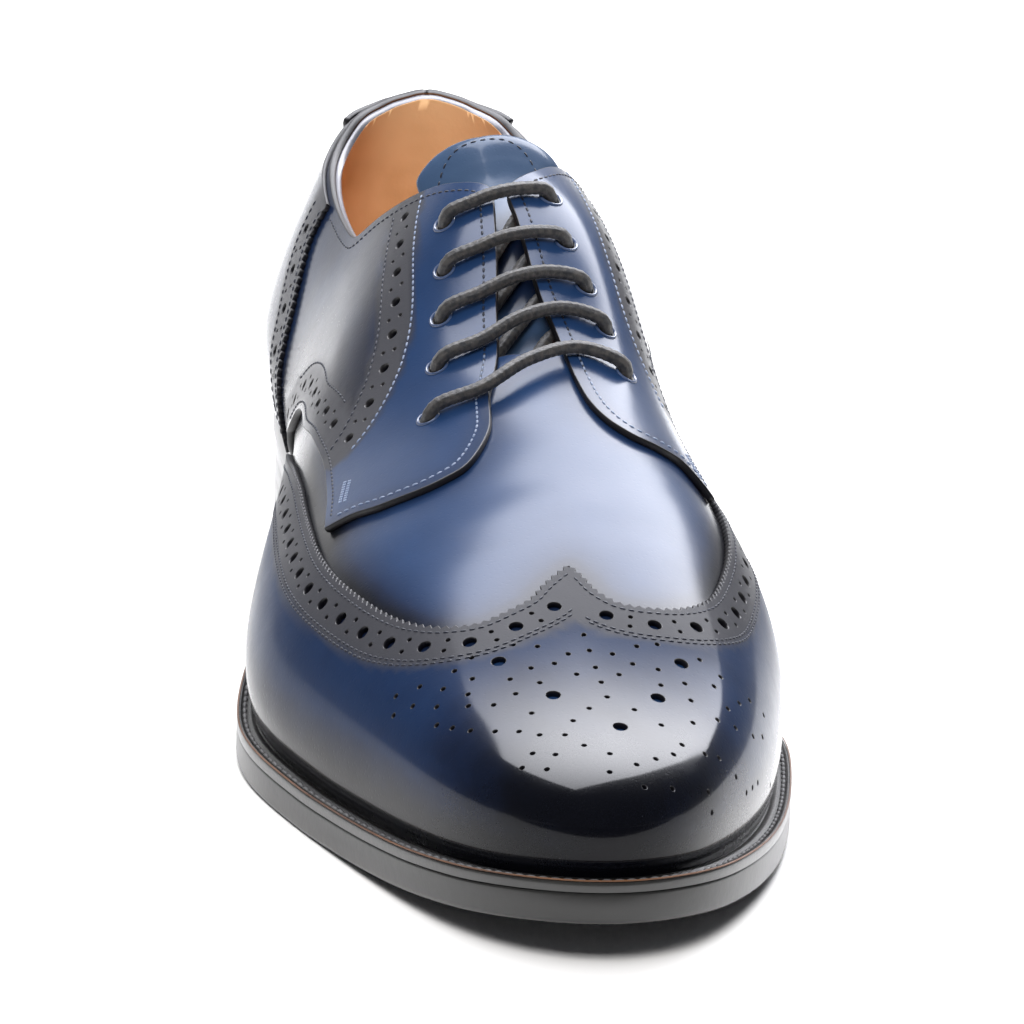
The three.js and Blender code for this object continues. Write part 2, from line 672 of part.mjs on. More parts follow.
// The lace: a straight bar over the facings at each pair of eyelets, and slanting runs underneath
// from each inner eyelet to the next outer one.
function makeLace() {
  const radius = size.laceDiameter / 2;
  const over = levels.panel + size.panelThickness + 2.5 * size.gap + radius;
  const under = -(size.upperWall + 2 * size.gap + radius);
  const place = (i, side, level, inward = 0) => {
    const [row, girth] = [eyelets[`${side}Row`][i], eyelets[`${side}Girth`][i]];
    return skinPoint(row, girth + inward, side, level);
  };
  const count = eyelets.lateralRow.length;
  const between = (a, b, side, share, level) => {
    const [from, to] = [a, b].map((i) => [eyelets[`${side}Row`][i], eyelets[`${side}Girth`][i]]);
    const row = from[0] + (to[0] - from[0]) * share;
    return skinPoint(row, from[1] + (1 - from[1]) * share, side, level);
  };
  const points = [];
  for (let i = 0; i < count; i++) {
    const middleRow = (eyelets.lateralRow[i] + eyelets.medialRow[i]) / 2;
    points.push(place(i, 'lateral', under, 0.006), place(i, 'lateral', -0.6), place(i, 'lateral', 1.4));
    points.push(place(i, 'lateral', over, 0.025), between(i, i, 'lateral', 0.55, over));
    points.push(skinPoint(middleRow, 1, 'lateral', over + size.gap));
    points.push(between(i, i, 'medial', 0.55, over), place(i, 'medial', over, 0.025));
    points.push(place(i, 'medial', 1.4), place(i, 'medial', -0.6), place(i, 'medial', under, 0.006));
    if (i + 1 === count) continue;
    const crossRow = (eyelets.medialRow[i] + eyelets.lateralRow[i + 1]) / 2;
    points.push(between(i, i, 'medial', 0.5, under), skinPoint(crossRow, 1, 'lateral', under));
    points.push(between(i + 1, i + 1, 'lateral', 0.5, under));
  }
  const curve = new THREE.CatmullRomCurve3(points, false, 'centripetal');
  const corners = spread(6).slice(1).map((t) => 2 * Math.PI * t);
  const section = new THREE.Shape(corners.map((a) => new THREE.Vector2(Math.cos(a), Math.sin(a)).multiplyScalar(radius)));
  const tube = new THREE.ExtrudeGeometry(section, { steps: 96, extrudePath: curve, bevelEnabled: false });
  return toGeometry(toSolid(tube));
}

const leather = (color, roughness) => new THREE.MeshStandardMaterial({ color, roughness, metalness: 0 });
const blue = leather(0x24406b, 0.3);
const navy = leather(0x141a2e, 0.25);
const black = leather(0x0d0d10, 0.45);
const tan = leather(0xa8683a, 0.6);
const cord = leather(0x2c3038, 0.85);
const rubber = leather(0x101012, 0.8);

const pieces = [
  ['outsole', makeOutsole(), black],
  ['welt', makeWelt(), black],
  ['heel_block', makeHeelBlock(), black],
  ['top_piece_front', makeTopPiece('front'), black],
  ['top_piece_back', makeTopPiece('back'), rubber],
  ['insole', makeInsole(), tan],
  ['upper', makeUpper(), blue],
  ['wing_cap', makeWingCap(), navy],
  ['quarter_lateral', makeQuarter('lateral'), blue],
  ['quarter_medial', makeQuarter('medial'), blue],
  ['heel_counter', makeCounter(), navy],
  ['heel_tab', makeHeelTab(), navy],
  ['tongue', makeTongue(), blue],
  ['lace', makeLace(), cord],
];

// The shoe stands with the middle of its outline over the origin.
const shoe = new THREE.Group();
for (const [name, geometry, material] of pieces) {
  geometry.computeVertexNormals();
  const mesh = new THREE.Mesh(geometry, material);
  mesh.name = name;
  shoe.add(mesh);
}
const bounds = new THREE.Box3().setFromObject(shoe);
shoe.position.set(-(bounds.min.x + bounds.max.x) / 2, -(bounds.min.y + bounds.max.y) / 2, -bounds.min.z);

export default shoe;
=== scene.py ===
# A right wingtip derby brogue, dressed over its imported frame.
# Lengths are in millimetres on the last and become metres when a mesh is made.

import math

import bpy
import numpy as np
from mathutils import Matrix, Vector, kdtree
from mathutils.geometry import delaunay_2d_cdt


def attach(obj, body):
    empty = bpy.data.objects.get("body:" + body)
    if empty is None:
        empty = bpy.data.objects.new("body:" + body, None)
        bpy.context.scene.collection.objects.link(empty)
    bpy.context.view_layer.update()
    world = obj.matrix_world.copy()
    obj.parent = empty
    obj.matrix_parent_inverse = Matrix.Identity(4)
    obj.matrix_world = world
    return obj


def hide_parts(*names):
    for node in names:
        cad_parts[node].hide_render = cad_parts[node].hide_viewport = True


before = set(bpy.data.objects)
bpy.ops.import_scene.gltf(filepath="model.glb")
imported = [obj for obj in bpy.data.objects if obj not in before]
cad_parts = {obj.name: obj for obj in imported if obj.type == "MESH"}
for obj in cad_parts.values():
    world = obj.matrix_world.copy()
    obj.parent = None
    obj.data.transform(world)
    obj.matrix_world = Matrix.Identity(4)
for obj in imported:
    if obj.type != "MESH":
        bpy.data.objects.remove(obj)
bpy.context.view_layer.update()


print("frame loaded")


# The last. A place on it is a row, from 0 at the back of the heel to 11 at the tip of the toe, and
# a spread s, 0 on the ridge, 1 at the outer feather line and -1 at the inner one. Rows past the toe
# or behind the heel carry on round to the other side.
last = {
    "length": 289.0,
    "ball": 93.0,
    "instep": 94.0,
    "heel": 25.5,
    "toeSpring": 8.8,
    "back": 4.5,
    "soleLength": 302.0,
    "soleThickness": 6.0,
    "gap": 0.3,
    "welt": 6.5,
    "wallShare": 0.16,
    "origin": (-2.1287, -148.4569, 0.0),
}


def table(names, rows):
    return {name: np.array([row[i] for row in rows], float) for i, name in enumerate(names.split())}


sections = table(
    "lateral lateralAlong medial medialAlong spine spineAlong ridge bulgeLateral bulgeMedial turn "
    "riseLateral riseMedial crownLateral crownMedial tilt tuck",
    [
        [0, 0, 0, 0, 0, 0.109, 1.63, 0.032, 0.032, 0.17, 0.35, 0.35, 0.5, 0.5, 0, 0],
        [0.211, 0.019, 0.211, 0.019, 0, 0.116, 1.32, 0.032, 0.032, 0.17, 0.29, 0.31, 0.5, 0.5, 0.05, 0],
        [0.334, 0.095, 0.334, 0.095, -0.011, 0.15, 1.106, 0.032, 0.032, 0.17, 0.22, 0.28, 0.5, 0.5, 0.12, 0.3],
        [0.342, 0.227, 0.331, 0.227, -0.022, 0.254, 1.074, 0.032, 0.062, 0.16, 0.14, 0.4, 0.48, 0.6, 0.17, 0.9],
        [0.377, 0.358, 0.302, 0.358, -0.032, 0.365, 1, 0.038, 0.088, 0.15, 0.26, 0.58, 0.48, 0.7, 0.18, 0.7],
        [0.465, 0.486, 0.338, 0.486, -0.043, 0.479, 0.809, 0.043, 0.093, 0.138, 0.3, 0.54, 0.5, 0.7, 0.16, 0.8],
        [0.53, 0.614, 0.469, 0.614, -0.043, 0.6, 0.691, 0.038, 0.054, 0.128, 0.4, 0.52, 0.55, 0.66, 0.1, 0.5],
        [0.476, 0.721, 0.472, 0.721, -0.032, 0.704, 0.612, 0.032, 0.032, 0.117, 0.5, 0.55, 0.6, 0.62, 0.05, 0],
        [0.367, 0.825, 0.401, 0.827, -0.032, 0.787, 0.532, 0.027, 0.027, 0.117, 0.58, 0.6, 0.6, 0.6, 0.02, 0],
        [0.259, 0.915, 0.29, 0.9165, -0.032, 0.8425, 0.468, 0.0215, 0.0215, 0.117, 0.62, 0.62, 0.6, 0.6, 0, 0],
        [0.133, 0.9775, 0.162, 0.9775, -0.032, 0.87, 0.438, 0.0215, 0.0215, 0.117, 0.62, 0.62, 0.6, 0.6, 0, 0],
        [-0.016, 1, 0.016, 1, -0.032, 0.8805, 0.428, 0.0215, 0.0215, 0.117, 0.62, 0.62, 0.6, 0.6, 0, 0],
    ],
)
arch = table(
    "along heel toe",
    [
        [-0.02, 1.01, 0], [0, 1, 0], [0.132, 0.96, 0], [0.265, 0.824, 0], [0.364, 0.588, 0], [0.464, 0.306, 0],
        [0.546, 0.094, 0], [0.622, 0, 0], [0.735, 0, 0], [0.795, 0, 0.08], [0.861, 0, 0.27], [0.927, 0, 0.58],
        [1, 0, 1], [1.03, 0, 1.1],
    ],
)
edgeShares = np.array([0.46, 0.46, 0.46, 0.4, 0.46, 0.75, 1, 1, 1, 1, 1, 1])
toe = len(sections["ridge"]) - 1


# A curve through values one row apart, smooth in its bend as well, so that reflections run on.
def rowCurve(values, start=0.0, finish=0.0):
    values = np.asarray(values, float)
    count = len(values)
    system = np.eye(count)
    sums = np.zeros(count)
    sums[0], sums[-1] = start, finish
    for i in range(1, count - 1):
        system[i, i - 1 : i + 2] = (1, 4, 1)
        sums[i] = 3 * (values[i + 1] - values[i - 1])
    slopes = np.linalg.solve(system, sums)

    def at(row):
        row = np.asarray(row, float)
        i = np.clip(np.floor(row).astype(int), 0, count - 2)
        t = row - i
        return (
            values[i] * (2 * t**3 - 3 * t**2 + 1)
            + slopes[i] * (t**3 - 2 * t**2 + t)
            + values[i + 1] * (3 * t**2 - 2 * t**3)
            + slopes[i + 1] * (t**3 - t**2)
        )

    return at


# A curve through points at any spacing that never overshoots them.
def steadyCurve(places, values):
    places, values = np.asarray(places, float), np.asarray(values, float)
    steps = np.diff(places)
    rates = np.diff(values) / steps
    slopes = np.empty(len(values))
    slopes[0], slopes[-1] = rates[0], rates[-1]
    for i in range(1, len(values) - 1):
        if rates[i - 1] * rates[i] <= 0:
            slopes[i] = 0
        else:
            a, b = 2 * steps[i] + steps[i - 1], steps[i] + 2 * steps[i - 1]
            slopes[i] = (a + b) / (a / rates[i - 1] + b / rates[i])

    def at(place):
        place = np.asarray(place, float)
        i = np.clip(np.searchsorted(places, place, side="right") - 1, 0, len(steps) - 1)
        t = (place - places[i]) / steps[i]
        return (
            values[i] * (2 * t**3 - 3 * t**2 + 1)
            + slopes[i] * steps[i] * (t**3 - 2 * t**2 + t)
            + values[i + 1] * (3 * t**2 - 2 * t**3)
            + slopes[i + 1] * steps[i] * (t**3 - t**2)
        )

    return at


def makeFeather():
    lateral, medial = sections["lateral"], sections["medial"]
    heelSlope = (lateral[1] + medial[1]) / 2
    toeSlope = (-medial[-2] - lateral[-2]) / 2
    toeTurn = (sections["medialAlong"][-2] - sections["lateralAlong"][-2]) / 2
    ball, length = last["ball"], last["length"]
    outer = {
        "x": rowCurve(lateral * ball, heelSlope * ball, toeSlope * ball),
        "y": rowCurve(sections["lateralAlong"] * length + last["back"], 0, toeTurn * length),
    }
    inner = {
        "x": rowCurve(-medial * ball, -heelSlope * ball, -toeSlope * ball),
        "y": rowCurve(sections["medialAlong"] * length + last["back"], 0, -toeTurn * length),
    }
    return outer, inner


feather = makeFeather()
spine = {
    "x": rowCurve(sections["spine"] * last["ball"]),
    "y": rowCurve(sections["spineAlong"] * last["length"] + last["back"]),
    "z": rowCurve(sections["ridge"] * last["instep"]),
}
bulge = [rowCurve(sections[name] * last["ball"]) for name in ("bulgeLateral", "bulgeMedial")]
rise = [rowCurve(sections[name]) for name in ("riseLateral", "riseMedial")]
crown = [rowCurve(sections[name]) for name in ("crownLateral", "crownMedial")]
turn = rowCurve(sections["turn"] * last["instep"])
tilt = rowCurve(sections["tilt"])
tuck = rowCurve(sections["tuck"])
outsoleEdge = rowCurve(edgeShares * last["welt"])
underside = steadyCurve(arch["along"] * last["soleLength"], arch["heel"] * last["heel"] + arch["toe"] * last["toeSpring"])


def seat(y):
    return underside(y) + last["soleThickness"] + last["gap"]


def wrapped(row, s):
    row, s = np.broadcast_arrays(np.asarray(row, float), np.asarray(s, float))
    beyond = (row > toe) | (row < 0)
    return np.where(row > toe, 2 * toe - row, np.abs(row)), np.where(beyond, -s, s)


def sided(pair, row, outer):
    return np.where(outer, pair[0](row), pair[1](row))


def footOf(row, outer):
    x = np.where(outer, feather[0]["x"](row), feather[1]["x"](row))
    y = np.where(outer, feather[0]["y"](row), feather[1]["y"](row))
    return x, y


def wallBulge(row, outer, t):
    draw = np.where(outer, 0, tuck(row))
    return sided(bulge, row, outer) * ((1 - draw) * t * (2 - t) + draw * t * t * (3 - 2 * t))


def lastPoint(row, s):
    row, s = wrapped(row, s)
    outer = s >= 0
    girth = 1 - np.abs(s)
    footX, footY = footOf(row, outer)
    topX, topY, topZ = spine["x"](row), spine["y"](row), spine["z"](row)
    reach = np.hypot(footX - topX, footY - topY)
    dx, dy = (footX - topX) / reach, (footY - topY) / reach
    share = last["wallShare"]
    level = seat(footY) + turn(row)
    low = girth / share
    lowOut = reach + wallBulge(row, outer, low)
    lowHeight = seat(footY) + turn(row) * low
    t = np.maximum((girth - share) / (1 - share), 0)
    u = 1 - t
    widest = reach + sided(bulge, row, outer)
    near = np.clip(row, 2.5, toe - 0.1)
    slope = (spine["z"](near + 0.05) - spine["z"](near - 0.05)) / (spine["y"](near + 0.05) - spine["y"](near - 0.05))
    hood = sided(crown, row, outer)
    lean = hood * widest * (slope * dy - tilt(row) * dx)
    highOut = widest * (u**3 + 3 * u * u * t + 3 * u * t * t * hood)
    highHeight = (
        level * (u**3 + 3 * u * u * t)
        + 3 * u * u * t * sided(rise, row, outer) * (topZ - level)
        + 3 * u * t * t * (topZ + lean)
        + t**3 * topZ
    )
    out = np.where(girth < share, lowOut, highOut)
    height = np.where(girth < share, lowHeight, highHeight)
    return np.stack([topX + dx * out, topY + dy * out, height], -1)


def slopes(row, s):
    a, b = 0.01, 0.004
    alongRow = (lastPoint(row + a, s) - lastPoint(row - a, s)) / (2 * a)
    alongSpread = (lastPoint(row, s + b) - lastPoint(row, s - b)) / (2 * b)
    return alongRow, alongSpread


def unit(vectors):
    return vectors / np.maximum(np.linalg.norm(vectors, axis=-1, keepdims=True), 1e-9)


def lastNormal(row, s):
    alongRow, alongSpread = slopes(row, s)
    return unit(np.cross(alongSpread, alongRow))


# The wear creases: where each runs from and to, its depth and its half width.
creases = {
    "troughs": [
        [(6.05, -0.34), (6.4, -0.1), (6.46, 0.12), (6.15, 0.38), 0.07, 4.6],
        [(6.55, -0.36), (6.92, -0.12), (6.95, 0.14), (6.65, 0.4), 0.05, 4.2],
        [(2.5, 0.6), (2.75, 0.66), (3.0, 0.72), (3.2, 0.8), 0.16, 7.0],
        [(2.5, -0.64), (2.8, -0.7), (3.1, -0.76), (3.4, -0.84), 0.16, 7.0],
        [(3.5, 0.45), (3.8, 0.5), (4.1, 0.56), (4.3, 0.64), 0.1, 7.0],
    ],
    "ridgeShare": 0.5,
    "ridgeAway": 2.1,
}


def creaseHeight(row, s):
    row, s = wrapped(row, s)
    total = np.zeros(row.shape)
    for *path, depth, width in creases["troughs"]:
        path = np.array(path)
        dense = np.linspace(0, 1, 25)
        stops = np.linspace(0, 1, len(path))
        rows, spreads = (np.interp(dense, stops, path[:, k]) for k in (0, 1))
        away = np.hypot((row[..., None] - rows) * 26, (s[..., None] - spreads) * 100)
        nearest = away.argmin(-1)
        distance = np.take_along_axis(away, nearest[..., None], -1)[..., 0]
        fade = np.sin(np.pi * np.clip(dense[nearest], 0.04, 0.96)) ** 0.6
        x = distance / width
        total -= depth * fade * (np.exp(-x * x) - creases["ridgeShare"] * np.exp(-((x - creases["ridgeAway"]) ** 2)))
    return total


def skin(row, s, level):
    row, s = np.asarray(row, float), np.asarray(s, float)
    lift = (level + creaseHeight(row, s))[..., None]
    return lastPoint(row, s) + lastNormal(row, s) * lift


def skinNormal(row, s):
    a, b = 0.012, 0.005
    alongRow = skin(row + a, s, 1.5) - skin(row - a, s, 1.5)
    alongSpread = skin(row, s + b, 1.5) - skin(row, s - b, 1.5)
    return unit(np.cross(alongSpread, alongRow))


# The step in row and spread that moves a point on the last by a small vector.
def towards(row, s, vector):
    alongRow, alongSpread = slopes(row, s)
    a, b, c = (alongRow * alongRow).sum(-1), (alongRow * alongSpread).sum(-1), (alongSpread * alongSpread).sum(-1)
    p, q = (alongRow * vector).sum(-1), (alongSpread * vector).sum(-1)
    det = a * c - b * b
    return (c * p - b * q) / det, (a * q - b * p) / det


# The last rolled out flat, so that panels can be cut like leather: ribs keep their plan direction.
def flat(row, s):
    row, s = wrapped(row, s)
    footX, footY = footOf(row, s >= 0)
    topX, topY = spine["x"](row), spine["y"](row)
    reach = np.hypot(footX - topX, footY - topY)
    away = np.abs(s) * 95 / reach
    return np.stack([topX + (footX - topX) * away, topY + (footY - topY) * away], -1)


# Lines on the last are arrays of row and spread.
def lengthsAlong(line):
    points = lastPoint(line[:, 0], line[:, 1])
    return np.concatenate([[0], np.cumsum(np.linalg.norm(np.diff(points, axis=0), axis=1))])


def even(line, step):
    lengths = lengthsAlong(line)
    count = max(int(round(lengths[-1] / step)), 1)
    stops = np.linspace(0, lengths[-1], count + 1)
    return np.stack([np.interp(stops, lengths, line[:, k]) for k in (0, 1)], -1)


def smoothLine(points, step=0.7):
    points = np.array(points, float)
    lengths = lengthsAlong(points)
    stops = np.linspace(0, lengths[-1], max(int(lengths[-1] / 0.4), 4))
    dense = np.stack([steadyCurve(lengths, points[:, k])(stops) for k in (0, 1)], -1)
    return even(dense, step)


# From a table of row and girth to a line on one side.
def sideLine(points, side, step=0.7):
    return smoothLine([(row, side * (1 - girth)) for row, girth in points], step)


def tangents(points):
    return unit(np.gradient(points, axis=0))


# The line moved sideways over the leather; a positive distance is to the right of its run.
def beside(line, distance):
    points = lastPoint(line[:, 0], line[:, 1])
    right = np.cross(tangents(points), lastNormal(line[:, 0], line[:, 1]))
    rowStep, spreadStep = towards(line[:, 0], line[:, 1], unit(right) * np.reshape(distance, (-1, 1)))
    return np.stack([line[:, 0] + rowStep, line[:, 1] + spreadStep], -1)


# Pinked teeth along an edge: the line goes in and out with their pitch.
def pinked(line, pitch, depth):
    line = even(line, pitch / 4)
    teeth = 0.5 - np.abs(((np.arange(len(line)) / 4) % 1) - 0.5) * 2
    return beside(line, teeth * depth)


def joined(*lines):
    kept = [lines[0]]
    for line in lines[1:]:
        gap = np.linalg.norm(lastPoint(*kept[-1][-1]) - lastPoint(*line[0]))
        kept.append(line[1:] if gap < 0.3 else line)
    loop = np.concatenate(kept)
    if np.linalg.norm(lastPoint(*loop[-1]) - lastPoint(*loop[0])) < 0.3:
        loop = loop[:-1]
    return loop


def circles(centres, radius, count, grow=1.0):
    centres = np.asarray(centres, float)
    row, s = centres[:, :1], centres[:, 1:]
    alongRow = unit(slopes(row, s)[0])
    across = np.cross(lastNormal(row, s), alongRow)
    angle = -np.linspace(0, 2 * np.pi, count, endpoint=False)[None, :, None]
    rowStep, spreadStep = towards(row, s, radius * (np.cos(angle) * alongRow + np.sin(angle) * across * grow))
    return np.stack([row + rowStep, s + spreadStep], -1)


def inside(points, polygon):
    x, y = points[:, :1], points[:, 1:]
    ax, ay = polygon[:, 0], polygon[:, 1]
    bx, by = np.roll(ax, -1), np.roll(ay, -1)
    result = np.zeros(len(points), bool)
    for start in range(0, len(points), 2000):
        px, py = x[start : start + 2000], y[start : start + 2000]
        crossing = (ay > py) != (by > py)
        with np.errstate(divide="ignore", invalid="ignore"):
            meets = px < (bx - ax) * (py - ay) / (by - ay) + ax
        result[start : start + 2000] = (crossing & meets).sum(1) % 2 == 1
    return result


def signedArea(polygon):
    x, y = polygon[:, 0], polygon[:, 1]
    return 0.5 * (x * np.roll(y, -1) - np.roll(x, -1) * y).sum()


def treeOf(points):
    tree = kdtree.KDTree(len(points))
    for i, point in enumerate(points):
        tree.insert((point[0], point[1], point[2] if len(point) > 2 else 0), i)
    tree.balance()
    return tree


def farFrom(points, tree, distance):
    return np.array([tree.find((p[0], p[1], 0))[2] > distance for p in points], bool)


# A sheet of leather cut from the last: its outline, punched holes, its outer and inner levels, and
# the rounding of its cut edge as steps outwards and down.
def leatherSheet(outline, holes=(), openings=(), outer=1.5, inner=0.0, spacing=2.2, rim=((0.12, 0.08), (0.2, 0.3))):
    loops = [outline, *openings, *holes]
    flats = [flat(loop[:, 0], loop[:, 1]) for loop in loops]
    for i, shape in enumerate(flats):
        wanted = 1 if i == 0 else -1
        if signedArea(shape) * wanted < 0:
            loops[i], flats[i] = loops[i][::-1], shape[::-1]
    bigCount = 1 + len(openings)
    owner = np.concatenate([np.full(len(loop), i) for i, loop in enumerate(loops)])
    border = np.concatenate(flats)
    borderTree = treeOf(border)
    insets = [beside(np.concatenate([loop, loop[:1]]), -0.35)[:-1] for loop in loops]
    levels = np.arange(spacing / 190, 1.0, spacing / 95)
    ribs = np.linspace(0, toe, 120)
    ridge = even(np.stack([ribs, 0 * ribs], -1), spacing)[1:-1]
    grids = [even(np.stack([ribs, np.full(120, side * s)], -1), spacing)[1:-1] for s in levels for side in (1, -1)]
    grids.append(ridge)
    ends = np.array([(row, s) for s in levels for row in (0, toe)])
    free = np.concatenate([*grids, ends])
    freeFlat = flat(free[:, 0], free[:, 1])
    keep = farFrom(freeFlat, borderTree, spacing * 0.42)
    free, freeFlat = free[keep], freeFlat[keep]
    rings = np.concatenate(insets)
    ringFlat = flat(rings[:, 0], rings[:, 1])
    keep = farFrom(ringFlat, borderTree, 0.2)
    rings, ringFlat = rings[keep], ringFlat[keep]
    free, freeFlat = np.concatenate([free, rings]), np.concatenate([freeFlat, ringFlat])
    keep = inside(freeFlat, flats[0])
    for shape in flats[1:bigCount]:
        keep &= ~inside(freeFlat, shape)
    if holes:
        centres = np.array([shape.mean(0) for shape in flats[bigCount:]])
        sizes = np.array([np.linalg.norm(shape - shape.mean(0), axis=1).max() for shape in flats[bigCount:]])
        centreTree = treeOf(centres)
        keep &= np.array([(lambda hit: hit[2] > sizes[hit[1]] * 0.99)(centreTree.find((p[0], p[1], 0))) for p in freeFlat])
    free, freeFlat = free[keep], freeFlat[keep]
    places = np.concatenate([*loops, free])
    plan = np.concatenate([border, freeFlat])
    edges, start, rounds = [], 0, []
    for loop in loops:
        ids = np.arange(start, start + len(loop))
        rounds.append(ids)
        edges += list(zip(ids.tolist(), np.roll(ids, -1).tolist()))
        start += len(loop)
    made = delaunay_2d_cdt([Vector(p) for p in plan.tolist()], edges, [], 0, 1e-5, True)
    fromMade = np.array([min(ids) if ids else -1 for ids in made[3]])
    triangles = np.array(made[2])
    lost = np.flatnonzero(fromMade < 0)
    if len(lost):
        tree = treeOf(plan)
        for i in lost:
            fromMade[i] = tree.find((made[0][i][0], made[0][i][1], 0))[1]
    triangles = fromMade[triangles]
    firsts = np.append(owner, np.full(len(free), -1))
    own = firsts[triangles]
    allEdge = (own >= 0).all(1)
    same = (own[:, 0] == own[:, 1]) & (own[:, 1] == own[:, 2])
    good = ~(allEdge & same & (own[:, 0] >= bigCount))
    centre = plan[triangles].mean(1)
    good &= inside(centre, flats[0])
    for shape in flats[1:bigCount]:
        good &= ~inside(centre, shape)
    distinct = (triangles[:, 0] != triangles[:, 1]) & (triangles[:, 1] != triangles[:, 2]) & (triangles[:, 0] != triangles[:, 2])
    triangles = triangles[good & distinct]
    row, s = places[:, 0], places[:, 1]
    normal = lastNormal(row, s)
    base = lastPoint(row, s)
    crease = creaseHeight(row, s)
    outerLevel = outer(row, s) if callable(outer) else np.full(len(row), float(outer))
    innerLevel = inner(row, s) if callable(inner) else np.full(len(row), float(inner))
    top = base + normal * (outerLevel + crease)[:, None]
    bottom = base + normal * (innerLevel + crease)[:, None]
    count = len(places)
    facing = skinNormal(row, s)
    points, facings, source = [top], [facing], [np.arange(count)]
    total = count
    walls = []
    inverse = np.full(count, -1)
    for ids in rounds:
        line = top[ids]
        along = unit(np.roll(line, -1, 0) - np.roll(line, 1, 0))
        right = unit(np.cross(along, normal[ids]))
        above = ids
        leans = np.linspace(0.9, 2.0, len(rim) + 1)
        for lean, spots in zip(leans, [line + right * step - normal[ids] * drop for step, drop in rim] + [bottom[ids]]):
            ring = np.arange(total, total + len(ids))
            points.append(spots)
            facings.append(right * math.sin(lean) + facing[ids] * math.cos(lean))
            source.append(ids)
            total += len(ids)
            walls.append(np.stack([above, ring, np.roll(ring, -1), np.roll(above, -1)], -1))
            above = ring
        inverse[ids] = above
    freeIds = np.flatnonzero(inverse < 0)
    inverse[freeIds] = np.arange(total, total + len(freeIds))
    points.append(bottom[freeIds])
    facings.append(-facing[freeIds])
    source.append(freeIds)
    wallFaces = np.concatenate(walls)
    back = inverse[triangles][:, ::-1]
    return {
        "points": np.concatenate(points),
        "faces": triangles.tolist() + wallFaces.tolist() + back.tolist(),
        "kinds": np.concatenate([np.zeros(len(triangles), int), np.ones(len(wallFaces), int), np.full(len(back), 2)]),
        "places": places[np.concatenate(source)],
        "facings": np.concatenate(facings),
    }


def makePiece(name, points, faces, finishes, kinds=None, fields=None, node=(), facings=None):
    mesh = bpy.data.meshes.new(name)
    mesh.from_pydata(((np.asarray(points) + np.array(last["origin"])) * 0.001).tolist(), [], faces)
    for finish in finishes:
        mesh.materials.append(finish)
    if kinds is not None:
        mesh.polygons.foreach_set("material_index", np.asarray(kinds, np.int32))
    mesh.polygons.foreach_set("use_smooth", np.full(len(mesh.polygons), True))
    for key, values in (fields or {}).items():
        attribute = mesh.attributes.new(key, "FLOAT", "POINT")
        attribute.data.foreach_set("value", np.asarray(values, np.float32))
    mesh.update()
    if facings is not None:
        mesh.normals_split_custom_set_from_vertices(facings.tolist())
    piece = bpy.data.objects.new(name, mesh)
    bpy.context.scene.collection.objects.link(piece)
    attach(piece, "root")
    if node:
        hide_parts(*node)
    return piece


# Materials. A Wire is a number in a material's node tree, and arithmetic on it adds Math nodes.
class Wire:
    def __init__(self, maker, socket):
        self.maker, self.socket = maker, socket

    def math(self, operation, *values):
        inputs = dict(enumerate((self, *values)))
        return self.maker.node("ShaderNodeMath", {"operation": operation}, inputs)

    def __add__(self, other):
        return self.math("ADD", other)

    def __radd__(self, other):
        return self.math("ADD", other)

    def __sub__(self, other):
        return self.math("SUBTRACT", other)

    def __rsub__(self, other):
        return self.maker.node("ShaderNodeMath", {"operation": "SUBTRACT"}, {0: other, 1: self})

    def __mul__(self, other):
        return self.math("MULTIPLY", other)

    def __rmul__(self, other):
        return self.math("MULTIPLY", other)

    def __truediv__(self, other):
        return self.math("DIVIDE", other)

    def within(self, low, high):
        settings = {"interpolation_type": "SMOOTHSTEP", "clamp": True}
        return self.maker.node("ShaderNodeMapRange", settings, {"Value": self, "From Min": low, "From Max": high})

    def clamped(self):
        return self.maker.node("ShaderNodeClamp", {}, {0: self})


class Finish:
    def __init__(self, name):
        self.material = bpy.data.materials.new(name)
        self.material.use_nodes = True
        self.tree = self.material.node_tree
        self.tree.nodes.clear()

    def node(self, kind, settings=None, inputs=None, output=0):
        made = self.tree.nodes.new(kind)
        for key, value in (settings or {}).items():
            setattr(made, key, value)
        for key, value in (inputs or {}).items():
            if isinstance(value, Wire):
                self.tree.links.new(value.socket, made.inputs[key])
            else:
                made.inputs[key].default_value = value
        return Wire(self, made.outputs[output]) if made.outputs else None

    def place(self):
        return self.node("ShaderNodeTexCoord", {}, {}, "Object")

    def noise(self, scale, detail=3.0, roughness=0.55, stretch=None):
        place = self.place()
        if stretch:
            place = self.node("ShaderNodeMapping", {}, {"Vector": place, "Scale": stretch})
        inputs = {"Vector": place, "Scale": scale, "Detail": detail, "Roughness": roughness}
        return self.node("ShaderNodeTexNoise", {}, inputs)

    def cells(self, scale):
        return self.node("ShaderNodeTexVoronoi", {}, {"Vector": self.place(), "Scale": scale}, "Distance")

    def field(self, name):
        return self.node("ShaderNodeAttribute", {"attribute_name": name}, {}, "Fac")

    def mix(self, factor, first, second):
        return self.node("ShaderNodeMix", {"data_type": "RGBA"}, {0: factor, 6: first, 7: second}, 2)

    def bump(self, height, strength, distance, normal=None):
        inputs = {"Height": height, "Strength": strength, "Distance": distance}
        if normal:
            inputs["Normal"] = normal
        return self.node("ShaderNodeBump", {}, inputs)

    def shade(self, color, roughness, normal=None, **fixed):
        inputs = {"Base Color": color, "Roughness": roughness}
        if normal:
            inputs["Normal"] = normal
        inputs.update({key.replace("_", " "): value for key, value in fixed.items()})
        surface = self.node("ShaderNodeBsdfPrincipled", {}, inputs)
        self.node("ShaderNodeOutputMaterial", {}, {"Surface": surface})
        return self.material


def color(r, g, b):
    return (r, g, b, 1.0)


